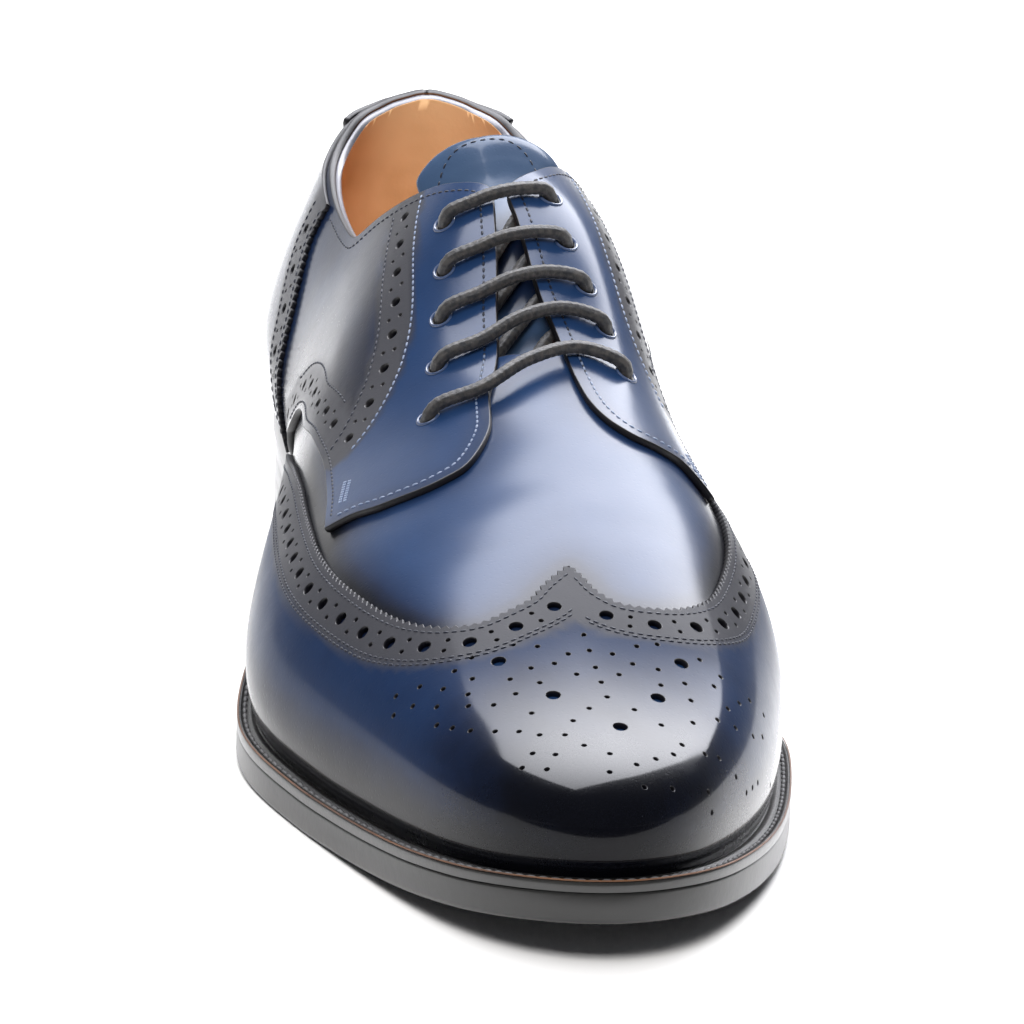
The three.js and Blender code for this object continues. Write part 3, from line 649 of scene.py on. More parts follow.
leather = {
    "blue": color(0.0115, 0.033, 0.094),
    "navy": color(0.006, 0.013, 0.038),
    "black": color(0.002, 0.0023, 0.004),
    "charcoal": color(0.045, 0.046, 0.054),
    "rough": 0.3,
    "coat": 0.85,
    "coatRough": 0.1,
    "grain": 1400,
    "pores": 900,
}


# Hand-coloured calf: the colour darkens with a per-piece field that holds real burnish on most pieces and painted shade
# on the tongue, and clouds a little as it goes.
def patinaLeather(name, light, mid, dark, rough=0.3, coat=0.85, coatRough=0.1, grain=0.12):
    finish = Finish(name)
    burnish_and_shade = finish.field("burnish_and_shade")
    clouds = finish.noise(38, 4, 0.6)
    streaks = finish.noise(60, 3, 0.6, (1, 0.25, 1))
    depth = burnish_and_shade + (clouds - 0.5) * 0.42 + (streaks - 0.5) * 0.2
    tone = finish.mix((depth * 1.6).clamped(), light, mid)
    tone = finish.mix(depth.within(0.45, 1.0), tone, dark)
    tone = finish.mix((finish.field("band") * (clouds * 0.5 + 0.7)).clamped(), tone, leather["charcoal"])
    fine = finish.noise(leather["grain"], 2, 0.6)
    pores = finish.cells(leather["pores"])
    wrinkle = finish.noise(260, 3, 0.55)
    height = fine * 0.35 + pores.within(0.0, 0.35) * 0.5 + wrinkle * 0.7
    normal = finish.bump(height, grain, 0.0003)
    polish = finish.noise(90, 3, 0.6)
    matte = finish.field("matte")
    return finish.shade(
        tone,
        (polish - 0.5) * 0.16 + fine * 0.06 + matte * 0.25 + rough,
        normal,
        Coat_Weight=(1 - matte) * coat,
        Coat_Roughness=coatRough,
        Coat_IOR=1.25,
        Specular_IOR_Level=0.04,
    )


def plainFinish(name, base, shade, rough, scale=300, bump=0.15, distance=0.0003, coat=0.0, coatRough=0.2, sheen=0.0):
    finish = Finish(name)
    clouds = finish.noise(scale * 0.12, 3, 0.6)
    fine = finish.noise(scale * 3, 3, 0.6)
    tone = finish.mix(clouds.within(0.35, 0.7), base, shade)
    normal = finish.bump(fine + clouds, bump, distance)
    fixed = {"Coat_Weight": coat, "Coat_Roughness": coatRough, "Sheen_Weight": sheen}
    return finish.shade(tone, (clouds - 0.5) * 0.15 + fine * 0.08 + rough, normal, **fixed)


patina = {
    "vamp": patinaLeather("vamp leather", leather["blue"], leather["navy"], leather["black"], 0.34, 0.85, 0.2),
    "wing": patinaLeather("wing leather", leather["blue"], leather["navy"], leather["black"], 0.24, 1.0, 0.09),
    "quarter": patinaLeather("quarter leather", leather["blue"], leather["navy"], color(0.009, 0.009, 0.013), 0.34, 0.85, 0.16),
    # The tongue's paler blue is a painted highlight that stands in for the light on its top.
    "tongue": patinaLeather("tongue leather painted highlight and shade", color(0.045, 0.08, 0.15), leather["navy"], leather["black"], 0.36, 0.8, 0.2),
}
edgeDark = plainFinish("cut leather edge", color(0.004, 0.004, 0.006), color(0.012, 0.011, 0.012), 0.45)
edgeTan = plainFinish("raw leather edge", color(0.16, 0.07, 0.03), color(0.08, 0.035, 0.018), 0.6)
lining = plainFinish("lining leather", color(0.9, 0.54, 0.28), color(0.62, 0.32, 0.14), 0.5, 260, 0.25)
collarTop = plainFinish("collar edge", color(0.07, 0.07, 0.095), color(0.045, 0.045, 0.06), 0.35, 300, 0.1, 0.0003, 0.4)
print("leather finishes made")


# How far each point of a piece lies from a set of lines on the last, in millimetres.
def distanceTo(points, lines, level=1.0):
    marks = np.concatenate([skin(line[:, 0], line[:, 1], level) for line in lines])
    tree = treeOf(marks)
    return np.array([tree.find(tuple(p))[2] for p in points])


def fading(distance, width):
    return np.exp(-((distance / width) ** 1.5))


# Lines that panels, holes and seams share.
opening = {
    1: [
        (0, 0.451), (0.18, 0.4535), (0.5, 0.473), (1, 0.53), (1.5, 0.562), (2, 0.586), (2.5, 0.594), (2.95, 0.61), (3.15, 0.69),
        (3.38, 0.79), (3.6, 0.895), (3.83, 0.985), (4.15, 0.975), (4.42, 0.965), (4.75, 0.95), (5.08, 0.94),
        (5.43, 0.912),
    ],
    -1: [
        (0, 0.451), (0.18, 0.4535), (0.5, 0.47), (1, 0.521), (1.5, 0.547), (2, 0.555), (2.5, 0.54), (2.85, 0.55), (3.05, 0.63),
        (3.27, 0.745), (3.6, 0.87), (3.88, 0.975), (4.1, 0.965), (4.65, 0.945), (5, 0.92), (5.33, 0.905),
    ],
}
quarterFront = {
    1: [(5.43, 0.912), (5.7, 0.908), (5.98, 0.88), (6.14, 0.84), (6.18, 0.78), (6.1, 0.68), (5.98, 0.62), (5.87, 0.55)],
    -1: [(5.33, 0.905), (5.55, 0.89), (5.76, 0.845), (5.82, 0.79), (5.8, 0.73), (5.76, 0.66), (5.78, 0.61), (5.8, 0.555)],
}
quarterFoot = {
    1: [
        (0, 0.03), (1, 0.03), (2, 0.03), (3, 0.03), (3.3, 0.08), (3.55, 0.2), (3.75, 0.31), (3.98, 0.36),
        (4.25, 0.39), (4.6, 0.46), (5.2, 0.54), (5.58, 0.555), (5.87, 0.55),
    ],
    -1: [
        (0, 0.03), (1, 0.03), (2, 0.03), (3, 0.03), (3.3, 0.09), (3.55, 0.2), (3.75, 0.31), (3.98, 0.35),
        (4.25, 0.38), (4.6, 0.44), (5.2, 0.52), (5.5, 0.55), (5.8, 0.555),
    ],
}
wingEdge = {
    1: [
        (3.5, 0.03), (3.62, 0.1), (3.78, 0.17), (3.96, 0.22), (4.25, 0.29), (4.6, 0.37), (5.1, 0.45), (5.83, 0.51),
        (6.73, 0.54), (7.38, 0.58), (7.8, 0.66), (8, 0.78), (7.95, 0.89), (7.8, 0.94), (7.62, 1),
    ],
    -1: [
        (3.5, 0.03), (3.62, 0.1), (3.78, 0.17), (3.96, 0.22), (4.25, 0.29), (4.6, 0.37), (5.2, 0.46), (6, 0.54),
        (6.83, 0.58), (7.4, 0.63), (7.85, 0.76), (8, 0.89), (7.9, 0.95), (7.75, 0.975), (7.62, 1),
    ],
}
counterEdge = {
    1: [(2.3, 0.58), (2.34, 0.51), (2.42, 0.47), (2.55, 0.42), (2.67, 0.36), (2.77, 0.28), (2.88, 0.18), (3, 0.03)],
    -1: [(2.3, 0.536), (2.35, 0.49), (2.42, 0.455), (2.55, 0.41), (2.67, 0.355), (2.77, 0.28), (2.88, 0.18), (3, 0.03)],
}
facingBand = {
    1: [(3.42, 0.765), (3.7, 0.735), (4.0, 0.717), (4.4, 0.708), (4.68, 0.688), (4.9, 0.65), (5.05, 0.605), (5.1, 0.575)],
    -1: [(3.28, 0.70), (3.6, 0.675), (3.95, 0.65), (4.3, 0.625), (4.6, 0.6), (4.85, 0.565), (5.0, 0.54)],
}
eyelets = {
    1: [(3.95, 0.852), (4.32, 0.84), (4.65, 0.825), (5, 0.812), (5.42, 0.79)],
    -1: [(3.92, 0.862), (4.28, 0.845), (4.57, 0.81), (4.83, 0.775), (5.14, 0.75)],
}
holes = {"eyelet": 1.9, "large": 1.5, "small": 0.62, "medallion": 0.62, "medallionLarge": 1.55}
band = {"pitch": 9.4, "centre": 5.2, "seam": 1.5, "seamInner": 8.9, "seamDouble": 10.0, "pair": 1.45}


def eyeletPlaces(side):
    return np.array([(row, side * (1 - girth)) for row, girth in eyelets[side]])


# The punched pattern of a band: large holes along its middle, and pairs of small ones between.
def bandHoles(line, pitch, pair, skip=(0.5, 0.5)):
    total = lengthsAlong(line)[-1]
    count = int((total - skip[0] - skip[1]) / pitch)
    start = skip[0] + (total - skip[0] - skip[1] - count * pitch) / 2
    lengths = lengthsAlong(line)

    def at(stops):
        return np.stack([np.interp(stops, lengths, line[:, k]) for k in (0, 1)], -1)

    stops = start + np.arange(count + 1) * pitch
    large = at(stops)
    middles = stops[:-1] + pitch / 2
    sideways = []
    for away in (-pair, pair):
        moved = beside(line, away)
        movedLengths = lengthsAlong(line)
        sideways.append(np.stack([np.interp(middles, movedLengths, moved[:, k]) for k in (0, 1)], -1))
    return large, np.concatenate(sideways)


class Stitches:
    # All the stitches of one thread, made as one piece.
    def __init__(self):
        self.rows = []

    def add(self, line, pitch, length, width, level, turned=0.0):
        line = even(line, pitch)
        middle = (line[1:] + line[:-1]) / 2
        points = skin(middle[:, 0], middle[:, 1], level)
        ends = skin(line[:, 0], line[:, 1], level)
        along = unit(ends[1:] - ends[:-1])
        up = lastNormal(middle[:, 0], middle[:, 1])
        self.addAt(points, along, up, length, width, turned)

    def addAt(self, points, along, up, length, width, turned=0.0):
        across = unit(np.cross(up, along))
        along = unit(along * math.cos(turned) + across * math.sin(turned))
        self.rows.append((points, along, unit(np.cross(up, along)), up, length, width))

    def make(self, name, finish, slot):
        sides, places = 6, np.array([-0.5, -0.4, -0.18, 0.18, 0.4, 0.5])
        girths = np.array([0.25, 0.8, 1.0, 1.0, 0.8, 0.25]) / 2
        drop = -0.5 * (2 * places) ** 2
        angle = np.linspace(0, 2 * np.pi, sides, endpoint=False)
        allPoints, allFaces, total = [], [], 0
        ring = np.arange(len(places) * sides).reshape(len(places), sides)
        quads = np.stack([ring[:-1], np.roll(ring, -1, 1)[:-1], np.roll(ring, -1, 1)[1:], ring[1:]], -1).reshape(-1, 4)
        for points, along, across, up, length, width in self.rows:
            local = np.zeros((len(places), sides, 3))
            local[..., 0] = places[:, None] * length
            local[..., 1] = girths[:, None] * np.cos(angle) * width
            local[..., 2] = girths[:, None] * np.sin(angle) * width * 0.8 + drop[:, None] * width * 0.5
            local = local.reshape(-1, 3)
            frames = np.stack([along, across, up], 1)
            world = points[:, None, :] + np.einsum("vk,nkc->nvc", local, frames)
            allPoints.append(world.reshape(-1, 3))
            starts = total + np.arange(len(points)) * len(local)
            allFaces += (quads[None] + starts[:, None, None]).reshape(-1, 4).tolist()
            for cap in (ring[0][::-1], ring[-1]):
                allFaces += (cap[None] + starts[:, None]).tolist()
            total += len(points) * len(local)
        return makePiece(name, np.concatenate(allPoints), allFaces, [finish])


darkThread, paleThread, soleThread = Stitches(), Stitches(), Stitches()
fineStitch = {"pitch": 1.75, "length": 1.35, "width": 0.5}


def sew(thread, line, level, pitch=None, length=None, width=None):
    thread.add(line, pitch or fineStitch["pitch"], length or fineStitch["length"], width or fineStitch["width"], level)


# The vamp and lining, one shell round the whole foot.
shell = {"outer": 0.0, "inner": -1.6, "throat": 5.12, "spacing": 2.3, "rimDrop": 0.4}


def rimLine(side, drop):
    points = [(row, girth - drop) for row, girth in opening[side] if row <= 5.1]
    ending = [(shell["throat"], 1.0)]
    return sideLine(points + [(shell["throat"] - 0.03, 0.97)] + ending, side, 1.0)


featherLoop = even(np.stack([np.linspace(0, 2 * toe, 900), np.full(900, 0.995)], -1), 1.6)[:-1]
openingLoop = joined(rimLine(1, 0.004), rimLine(-1, 0.004)[::-1])
eyeletLoops = [loop for side in (1, -1) for loop in circles(eyeletPlaces(side), holes["eyelet"] + 0.2, 20)]
made = leatherSheet(
    featherLoop, eyeletLoops, [openingLoop], shell["outer"], shell["inner"], shell["spacing"],
    rim=((0.3, 0.12), (0.5, 0.5), (0.45, 0.95)),
)
wingLines = {side: sideLine(wingEdge[side], side) for side in (1, -1)}
frontLines = {side: sideLine(quarterFront[side], side) for side in (1, -1)}
onVamp = made["places"]
vampBurn = (
    0.9 * fading(distanceTo(made["points"], wingLines.values()), 7)
    + 0.45 * fading(distanceTo(made["points"], frontLines.values()), 5)
    + 0.5 * np.clip(np.abs(wrapped(onVamp[:, 0], onVamp[:, 1])[1]) * 2.4 - 0.75, 0, 1)
)
faceRow = np.array([made["places"][face[0], 0] for face in made["faces"]])
kinds = np.where((made["kinds"] == 1) & (faceRow < 3.5), 3, made["kinds"])
makePiece("upper_leather", made["points"], made["faces"], [patina["vamp"], edgeDark, lining, collarTop], kinds, {"burnish_and_shade": vampBurn},
          ["upper"], made["facings"])
print("upper made", len(made["faces"]))

# The wing cap: pinked edge, punched band, medallion.
medallion = {
    "axis": ((-3.2, 244.0), (-6.4, 273.0)),
    "large": [(0.0, 272.6), (17.2, 249.4), (9.8, 261.6)],
    "small": [
        (0, 244), (0, 248.5), (0, 253.4), (0, 257.9), (0, 262.6), (4.2, 266.4), (8.2, 270.4), (10.8, 275), (8.2, 279),
        (4.2, 282), (0, 284.8), (0, 290), (5.6, 287.6), (13.9, 281), (17.6, 279.2), (16.2, 284.6), (20, 282),
        (15.2, 274), (18.4, 271.6), (22.2, 269.4), (25.8, 266), (28.2, 262.4), (30.2, 258.8), (15, 266.6), (16.4, 259.8),
        (20.8, 261.6), (24.8, 259.2), (4, 255.4), (7.4, 252), (11.4, 257.4), (12, 252.8), (16.4, 255.2), (4.2, 249.4),
        (9.4, 246.8), (13.6, 245.4), (21.4, 246.2), (24.9, 248), (22.6, 252.2), (24.2, 256), (27.6, 251.2),
        (29.4, 254.6), (32.6, 249.6), (30.8, 246.6), (35.4, 246.8), (34.4, 243.6),
    ],
}


# The place on the last above a point in plan near the toe.
def placesUnder(x, y):
    rows, spreads = np.meshgrid(np.linspace(7.4, toe, 60), np.linspace(-0.8, 0.8, 81), indexing="ij")
    grid = lastPoint(rows, spreads)[..., :2].reshape(-1, 2)
    found = []
    for px, py in zip(x, y):
        i = np.hypot(grid[:, 0] - px, grid[:, 1] - py).argmin()
        row, s = rows.flat[i], spreads.flat[i]
        for _ in range(6):
            a, b = slopes(row, s)
            gap = np.array([px, py]) - lastPoint(row, s)[:2]
            step = np.linalg.solve(np.array([[a[0], b[0]], [a[1], b[1]]]), gap)
            row, s = row + float(np.clip(step[0], -0.3, 0.3)), s + float(np.clip(step[1], -0.05, 0.05))
        found.append((row, s))
    return np.array(found)


def medallionPlaces(points):
    (x0, y0), (x1, y1) = medallion["axis"]
    both = [(away * side, y) for away, y in points for side in ((1, -1) if away else (1,))]
    x = [x0 + (x1 - x0) * (y - y0) / (y1 - y0) + away for away, y in both]
    return placesUnder(x, [y for _, y in both])


wing = {"outer": 1.45, "inner": 0.06, "foot": 0.03, "pitch": 1.9, "teeth": 0.85, "spacing": 2.2}
wingTop = {side: pinked(wingLines[side], wing["pitch"], wing["teeth"] * side) for side in (1, -1)}
wingFoot = even(np.stack([np.linspace(3.5, 2 * toe - 3.5, 700), np.full(700, 1 - wing["foot"])], -1), 1.6)
wingOutline = joined(wingFoot, wingTop[-1], wingTop[1][::-1])
wingLarge, wingSmall = [], []
for side in (1, -1):
    middle = beside(wingLines[side], band["centre"] * side)
    keep = (middle[:, 1] * side > 0.012) & (middle[:, 0] > 4.15)
    middle = even(middle[keep], 0.5)
    large, small = bandHoles(middle, band["pitch"], band["pair"], (2, 1.5))
    wingLarge.append(large)
    wingSmall.append(small)
medallionLarge = medallionPlaces(medallion["large"])
medallionSmall = medallionPlaces(medallion["small"])
wingHoles = [
    *circles(np.concatenate([*wingLarge, medallionLarge]), holes["large"], 18),
    *circles(np.concatenate([*wingSmall, medallionSmall]), holes["small"], 10),
]
made = leatherSheet(wingOutline, wingHoles, (), wing["outer"], wing["inner"], wing["spacing"])
points, onWing = made["points"], made["places"]
edgeAway = distanceTo(points, wingLines.values(), wing["outer"])
toeTip = points - lastPoint(toe, 0.55)
tipAway = np.linalg.norm(toeTip * np.array([0.85, 1, 1]), axis=1)
spreadOn = np.abs(wrapped(onWing[:, 0], onWing[:, 1])[1])
wingBurn = np.maximum.reduce([
    0.9 * np.clip((12.5 - edgeAway) / 5, 0, 1),
    1.1 * fading(tipAway, 50),
    1.0 * np.clip((spreadOn - 0.6) * 3.5, 0, 1),
    np.full(len(points), 0.45),
])
wingMatte = np.clip(0.88 * fading(np.maximum(edgeAway - 11, 0), 17), 0, 1)
makePiece("wing_cap_leather", points, made["faces"], [patina["wing"], edgeDark],
          np.minimum(made["kinds"], 1), {"burnish_and_shade": wingBurn, "matte": wingMatte, "band": np.clip((11.2 - edgeAway) / 1.6, 0, 1)}, ["wing_cap"],
          made["facings"])
for side in (1, -1):
    for away in (band["seam"], band["seamInner"], band["seamDouble"]):
        line = beside(wingLines[side], away * side)
        line = line[(line[:, 1] * side > 0.004) & (line[:, 0] > 3.8)]
        sew(darkThread, line, wing["outer"] + 0.02)
print("wing cap made", len(made["faces"]))

# The quarters: smooth facing, punched bands, raised front edge.
quarter = {"outer": 1.6, "inner": 0.08, "spacing": 2.3, "seam": 2.4}
for side, name in ((1, "lateral"), (-1, "medial")):
    foot = sideLine(quarterFoot[side], side, 0.9)
    front = sideLine(quarterFront[side], side, 0.7)
    top = sideLine(opening[side], side, 0.7)
    back = even(np.stack([np.zeros(60), np.linspace(side * (1 - 0.451), side * 0.97, 60)], -1), 1.5)
    outline = joined(foot, front[::-1], top[::-1], back)
    facing = sideLine(facingBand[side], side, 0.5)
    hump = even(beside(sideLine([p for p in quarterFoot[side] if p[0] > 3.1], side), -5.4 * side), 0.5)
    hump = hump[(hump[:, 0] > 3.3) & (hump[:, 0] < 4.85)]
    facingLarge, facingSmall = bandHoles(facing, band["pitch"], band["pair"], (1.5, 1.0))
    humpLarge, humpSmall = bandHoles(hump, band["pitch"] * 0.86, band["pair"], (1.0, 1.0))
    eyeletRing = eyeletPlaces(side)
    punched = [
        *circles(eyeletRing, holes["eyelet"], 22),
        *circles(np.concatenate([facingLarge, humpLarge]), holes["large"] * 0.9, 18),
        *circles(np.concatenate([facingSmall, humpSmall]), holes["small"], 10),
    ]
    made = leatherSheet(outline, punched, (), quarter["outer"], quarter["inner"], quarter["spacing"],
                        rim=((0.2, 0.1), (0.32, 0.45), (0.3, 1.0)))
    points, onQuarter = made["points"], made["places"]
    bandAway = np.minimum(distanceTo(points, [facing], 1.5), distanceTo(points, [hump], 1.5))
    frontAway = distanceTo(points, [front], 1.5)
    facingPlace = np.interp(wrapped(onQuarter[:, 0], 0)[0], facing[:, 0], np.abs(facing[:, 1]), left=0.2, right=0.42)
    behind = np.clip((np.abs(wrapped(onQuarter[:, 0], onQuarter[:, 1])[1]) - facingPlace) * 14, 0, 1)
    behind = np.where(onQuarter[:, 0] < 3.3, 1, behind)
    burnAndShade = np.maximum.reduce([
        0.98 * np.clip((5.6 - bandAway) / 1.4, 0, 1),
        0.8 * behind - 0.25 * np.clip((bandAway - 9) / 14, 0, 1),
        0.5 * fading(frontAway, 5),
        np.full(len(points), 0.12),
    ])
    onBand = np.clip((5.4 - bandAway) / 1.2, 0, 1)
    makePiece(f"quarter_{name}_leather", points, made["faces"], [patina["quarter"], edgeDark, edgeTan],
              made["kinds"], {"burnish_and_shade": burnAndShade, "band": onBand, "matte": onBand * 0.5}, [f"quarter_{name}"],
              made["facings"])
    level = quarter["outer"] + 0.02
    sew(paleThread, beside(facing, -4.4 * side), level)
    sew(darkThread, beside(facing, 4.0 * side), level)
    topSeam = beside(top, quarter["seam"] * side)
    sew(darkThread, topSeam[topSeam[:, 0] > 2.4], level)
    rounded = even(joined(top[top[:, 0] > 5.0], front), 0.7)
    sew(paleThread, beside(rounded, quarter["seam"] * side)[4:-3], level)
    lower = sideLine([p for p in quarterFoot[side] if p[0] > 3.5], side)
    sew(darkThread, beside(lower, -1.5 * side)[2:-4], level)
    humpTop = beside(lower, -9.6 * side)
    sew(darkThread, humpTop[(humpTop[:, 0] > 3.3) & (humpTop[:, 0] < 4.7)], level)
    for share in (0.0, 0.35, 1.0, 1.35):
        tack = smoothLine([(5.5 + 0.03 * share, side * (0.40 - 0.012 * share)), (5.72 + 0.03 * share, side * (0.412 - 0.012 * share))], 0.5)
        sew(paleThread, tack, level, 1.0, 0.8, 0.42)
    print("quarter made", name, len(made["faces"]))

# The heel counter and the tab over the back seam.
counter = {"outer": 2.7, "inner": 1.62, "pitch": 1.9, "teeth": 0.85}


def collarLine(side, rows, drop):
    curve = steadyCurve([p[0] for p in opening[side]], [p[1] for p in opening[side]])
    return smoothLine([(row, side * (1 - float(curve(row)) + drop)) for row in rows], 0.8)


counterFront = {side: sideLine(counterEdge[side], side) for side in (1, -1)}
counterTop = {side: collarLine(side, np.linspace(0, 2.3, 12), 0.012) for side in (1, -1)}
pinkedFront = {side: pinked(counterFront[side], counter["pitch"], -counter["teeth"] * side) for side in (1, -1)}
counterFoot = even(np.stack([np.linspace(-3, 3, 300), np.full(300, 0.97)], -1), 1.5)
lateralPart = joined(counterTop[1], pinkedFront[1], even(np.stack([np.linspace(3, 0, 200), np.full(200, 0.97)], -1), 1.5))
medialPart = joined(counterTop[-1], pinkedFront[-1], even(np.stack([np.linspace(3, 0, 200), np.full(200, -0.97)], -1), 1.5))
outline = joined(lateralPart, medialPart[::-1])
counterHoles = []
for side in (1, -1):
    middle = even(beside(counterFront[side], band["centre"] * side), 0.5)
    middle = middle[(middle[:, 0] > 0) & (np.abs(middle[:, 1]) < 0.93)]
    large, small = bandHoles(middle, band["pitch"], band["pair"], (4, 2))
    counterHoles += [*circles(large, holes["large"] * 0.9, 18), *circles(small, holes["small"], 10)]
made = leatherSheet(outline, counterHoles, (), counter["outer"], counter["inner"], 2.3)
edgeAway = distanceTo(made["points"], counterFront.values(), counter["outer"])
onBand = np.clip((10.8 - edgeAway) / 1.2, 0, 1)
burnAndShade = 0.62 + 0.3 * onBand
makePiece("heel_counter_leather", made["points"], made["faces"], [patina["quarter"], edgeDark],
          np.minimum(made["kinds"], 1), {"burnish_and_shade": burnAndShade, "band": onBand, "matte": onBand * 0.5}, ["heel_counter"],
          made["facings"])
for side in (1, -1):
    for away in (band["seam"], band["seamInner"]):
        line = beside(counterFront[side], away * side)[3:]
        sew(darkThread, line[np.abs(line[:, 1]) < 0.95], counter["outer"] + 0.02)
tab = {"outer": 3.7, "inner": 2.72, "edge": [(0.95, 0.51), (0.75, 0.42), (0.45, 0.33), (0.3, 0.28), (0.16, 0.245), (0, 0.24)]}
tabParts = [
    joined(collarLine(side, np.linspace(0, 0.95, 8), 0.008), sideLine(tab["edge"], side, 0.7)) for side in (1, -1)
]
outline = joined(tabParts[0], tabParts[1][::-1])
made = leatherSheet(outline, (), (), tab["outer"], tab["inner"], 1.8)
makePiece("heel_tab_leather", made["points"], made["faces"], [patina["quarter"], edgeDark],
          np.minimum(made["kinds"], 1), {"burnish_and_shade": np.full(len(made["points"]), 0.55)}, ["heel_tab"],
          made["facings"])
for side in (1, -1):
    sew(darkThread, beside(sideLine(tab["edge"], side, 0.7), 1.4 * side), tab["outer"] + 0.02)
print("counter and tab made")

# The tongue lies under the facings and stands up above them.
tongue = {
    "rows": [
        (3.08, 0.91, 0.86, 1), (3.1, 0.85, 0.84, 1), (3.16, 0.8, 0.76, 1), (3.28, 0.785, 0.5, 1), (3.42, 0.77, 0.2, 1),
        (3.62, 0.77, 0, 1), (3.9, 0.76, 0, 1), (4.2, 0.75, 0, 1), (4.5, 0.74, 0, 1), (4.85, 0.745, 0, 1),
        (5.2, 0.75, 0, 1), (5.6, 0.76, 0, 1), (5.9, 0.8, 0, 0.5), (6.2, 0.84, 0, 0),
    ],
    "lift": 9.0,
    "room": 3.7,
    "thickness": 1.6,
}
tongueTable = np.array(tongue["rows"])
tongueReach = steadyCurve(tongueTable[:, 0], tongueTable[:, 1])
tongueLift = steadyCurve(tongueTable[:, 0], tongueTable[:, 2] * tongue["lift"])
tongueRoom = steadyCurve(tongueTable[:, 0], tongueTable[:, 3] * tongue["room"])


def tongueLevel(row, s):
    row = np.asarray(row, float)
    return tongueLift(row) - tongueRoom(row) - 1.9


def closedGrid(outerGrid, innerGrid):
    rows, columns = outerGrid.shape[:2]
    top = np.arange(rows * columns).reshape(rows, columns)
    under = top + rows * columns
    faces = np.stack([top[:-1, :-1], top[1:, :-1], top[1:, 1:], top[:-1, 1:]], -1).reshape(-1, 4).tolist()
    kinds = [0] * len(faces)
    back = np.stack([under[:-1, :-1], under[:-1, 1:], under[1:, 1:], under[1:, :-1]], -1).reshape(-1, 4).tolist()
    ring = np.concatenate([top[0, :-1], top[:-1, -1], top[-1, :0:-1], top[:0:-1, 0]])
    low = ring + rows * columns
    wall = np.stack([ring, low, np.roll(low, -1), np.roll(ring, -1)], -1)[:, ::-1].tolist()
    kinds += [2] * len(back) + [1] * len(wall)
    return np.concatenate([outerGrid.reshape(-1, 3), innerGrid.reshape(-1, 3)]), faces + back + wall, kinds


tongueTop = tongue["rows"][0][0]
rowsAlong = np.concatenate([np.linspace(tongueTop, 3.3, 26)[:-1], np.linspace(3.3, 6.15, 90)])
across = np.sin(np.linspace(-np.pi / 2, np.pi / 2, 41)) * 0.5 + np.linspace(-1, 1, 41) * 0.5
tongueRows = np.repeat(rowsAlong[:, None], len(across), 1)
tongueSpread = -across[None, :] * (1 - tongueReach(rowsAlong))[:, None]
edgeDip = -0.5 * np.abs(across[None, :]) ** 12
endDip = -0.5 * np.exp(-((rowsAlong - tongueTop) / 0.015))[:, None]
wider = 0.05 * np.clip((3.34 - tongueRows) / 0.12, 0, 1) * np.clip((tongueRows - 3.085) / 0.03, 0, 1)
tongueSpread = tongueSpread - wider * np.clip(across[None, :], 0, 1)
tongueNormal = unit(lastNormal(tongueRows, tongueSpread - 0.1) + lastNormal(tongueRows, tongueSpread + 0.1))


def tongueAt(rise):
    level = (tongueLevel(tongueRows, tongueSpread) + rise)[..., None]
    return lastPoint(tongueRows, tongueSpread) + tongueNormal * level


outerGrid = tongueAt(edgeDip + endDip)
innerGrid = tongueAt(-tongue["thickness"] - edgeDip - endDip)
points, faces, kinds = closedGrid(outerGrid, innerGrid)
# Painted shade: the tongue darkens round row 4.3, where it lies deep in the gap between the facings.
burnAndShade = np.tile((0.12 + 0.6 * np.exp(-(((tongueRows - 4.3) / 0.4) ** 2))).ravel(), 2)
makePiece("tongue_leather", points, faces, [patina["tongue"], edgeDark, lining], kinds, {"burnish_and_shade": burnAndShade},
          ["tongue"])
seamT = np.linspace(-1, 1, 60)
seamRow = 3.135 + 0.3 * np.abs(seamT) ** 3
seamLine = np.stack([seamRow, -seamT * (1 - tongueReach(seamRow)) * 0.9], -1)
seamMiddle = even(seamLine, 1.9)
seamNormal = unit(lastNormal(seamMiddle[:, 0], seamMiddle[:, 1] - 0.1) + lastNormal(seamMiddle[:, 0], seamMiddle[:, 1] + 0.1))
seamPoints = lastPoint(seamMiddle[:, 0], seamMiddle[:, 1]) + seamNormal * (tongueLevel(seamMiddle[:, 0], 0) + 0.03)[:, None]
darkThread.addAt(
    (seamPoints[1:] + seamPoints[:-1]) / 2, unit(seamPoints[1:] - seamPoints[:-1]),
    lastNormal(seamMiddle[1:, 0], seamMiddle[1:, 1]), 1.4, 0.5,
)
print("tongue made")

# The lace: bars straight across, slanting runs hidden underneath.
lace = {"diameter": 2.75, "over": 1.6, "clear": 0.35, "strands": 8, "twist": 2.1, "sides": 32, "step": 0.36}


def lacePlace(i, side, level, inward=0.0):
    row, girth = eyelets[side][i]
    return skin(row, side * (1 - girth - inward), level)


def laceBetween(i, side, share, level):
    row, girth = eyelets[side][i]
    return skin(row, side * (1 - girth) * (1 - share), level)


def lacePath():
    radius = lace["diameter"] / 2
    over = lace["over"] + lace["clear"] + radius
    under = -(1.6 + 0.4 + radius)
    points = []
    for i in range(5):
        middle = (eyelets[1][i][0] + eyelets[-1][i][0]) / 2
        points += [lacePlace(i, 1, under, 0.006), lacePlace(i, 1, -0.6), lacePlace(i, 1, 1.4)]
        points += [lacePlace(i, 1, over, 0.025), laceBetween(i, 1, 0.55, over), skin(middle, 0.0, over + 0.3)]
        points += [laceBetween(i, -1, 0.55, over), lacePlace(i, -1, over, 0.025)]
        points += [lacePlace(i, -1, 1.4), lacePlace(i, -1, -0.6), lacePlace(i, -1, under, 0.006)]
        if i < 4:
            cross = (eyelets[-1][i][0] + eyelets[1][i + 1][0]) / 2
            points += [laceBetween(i, -1, 0.5, under), skin(cross, 0.0, under), laceBetween(i + 1, 1, 0.5, under)]
    return np.array(points)


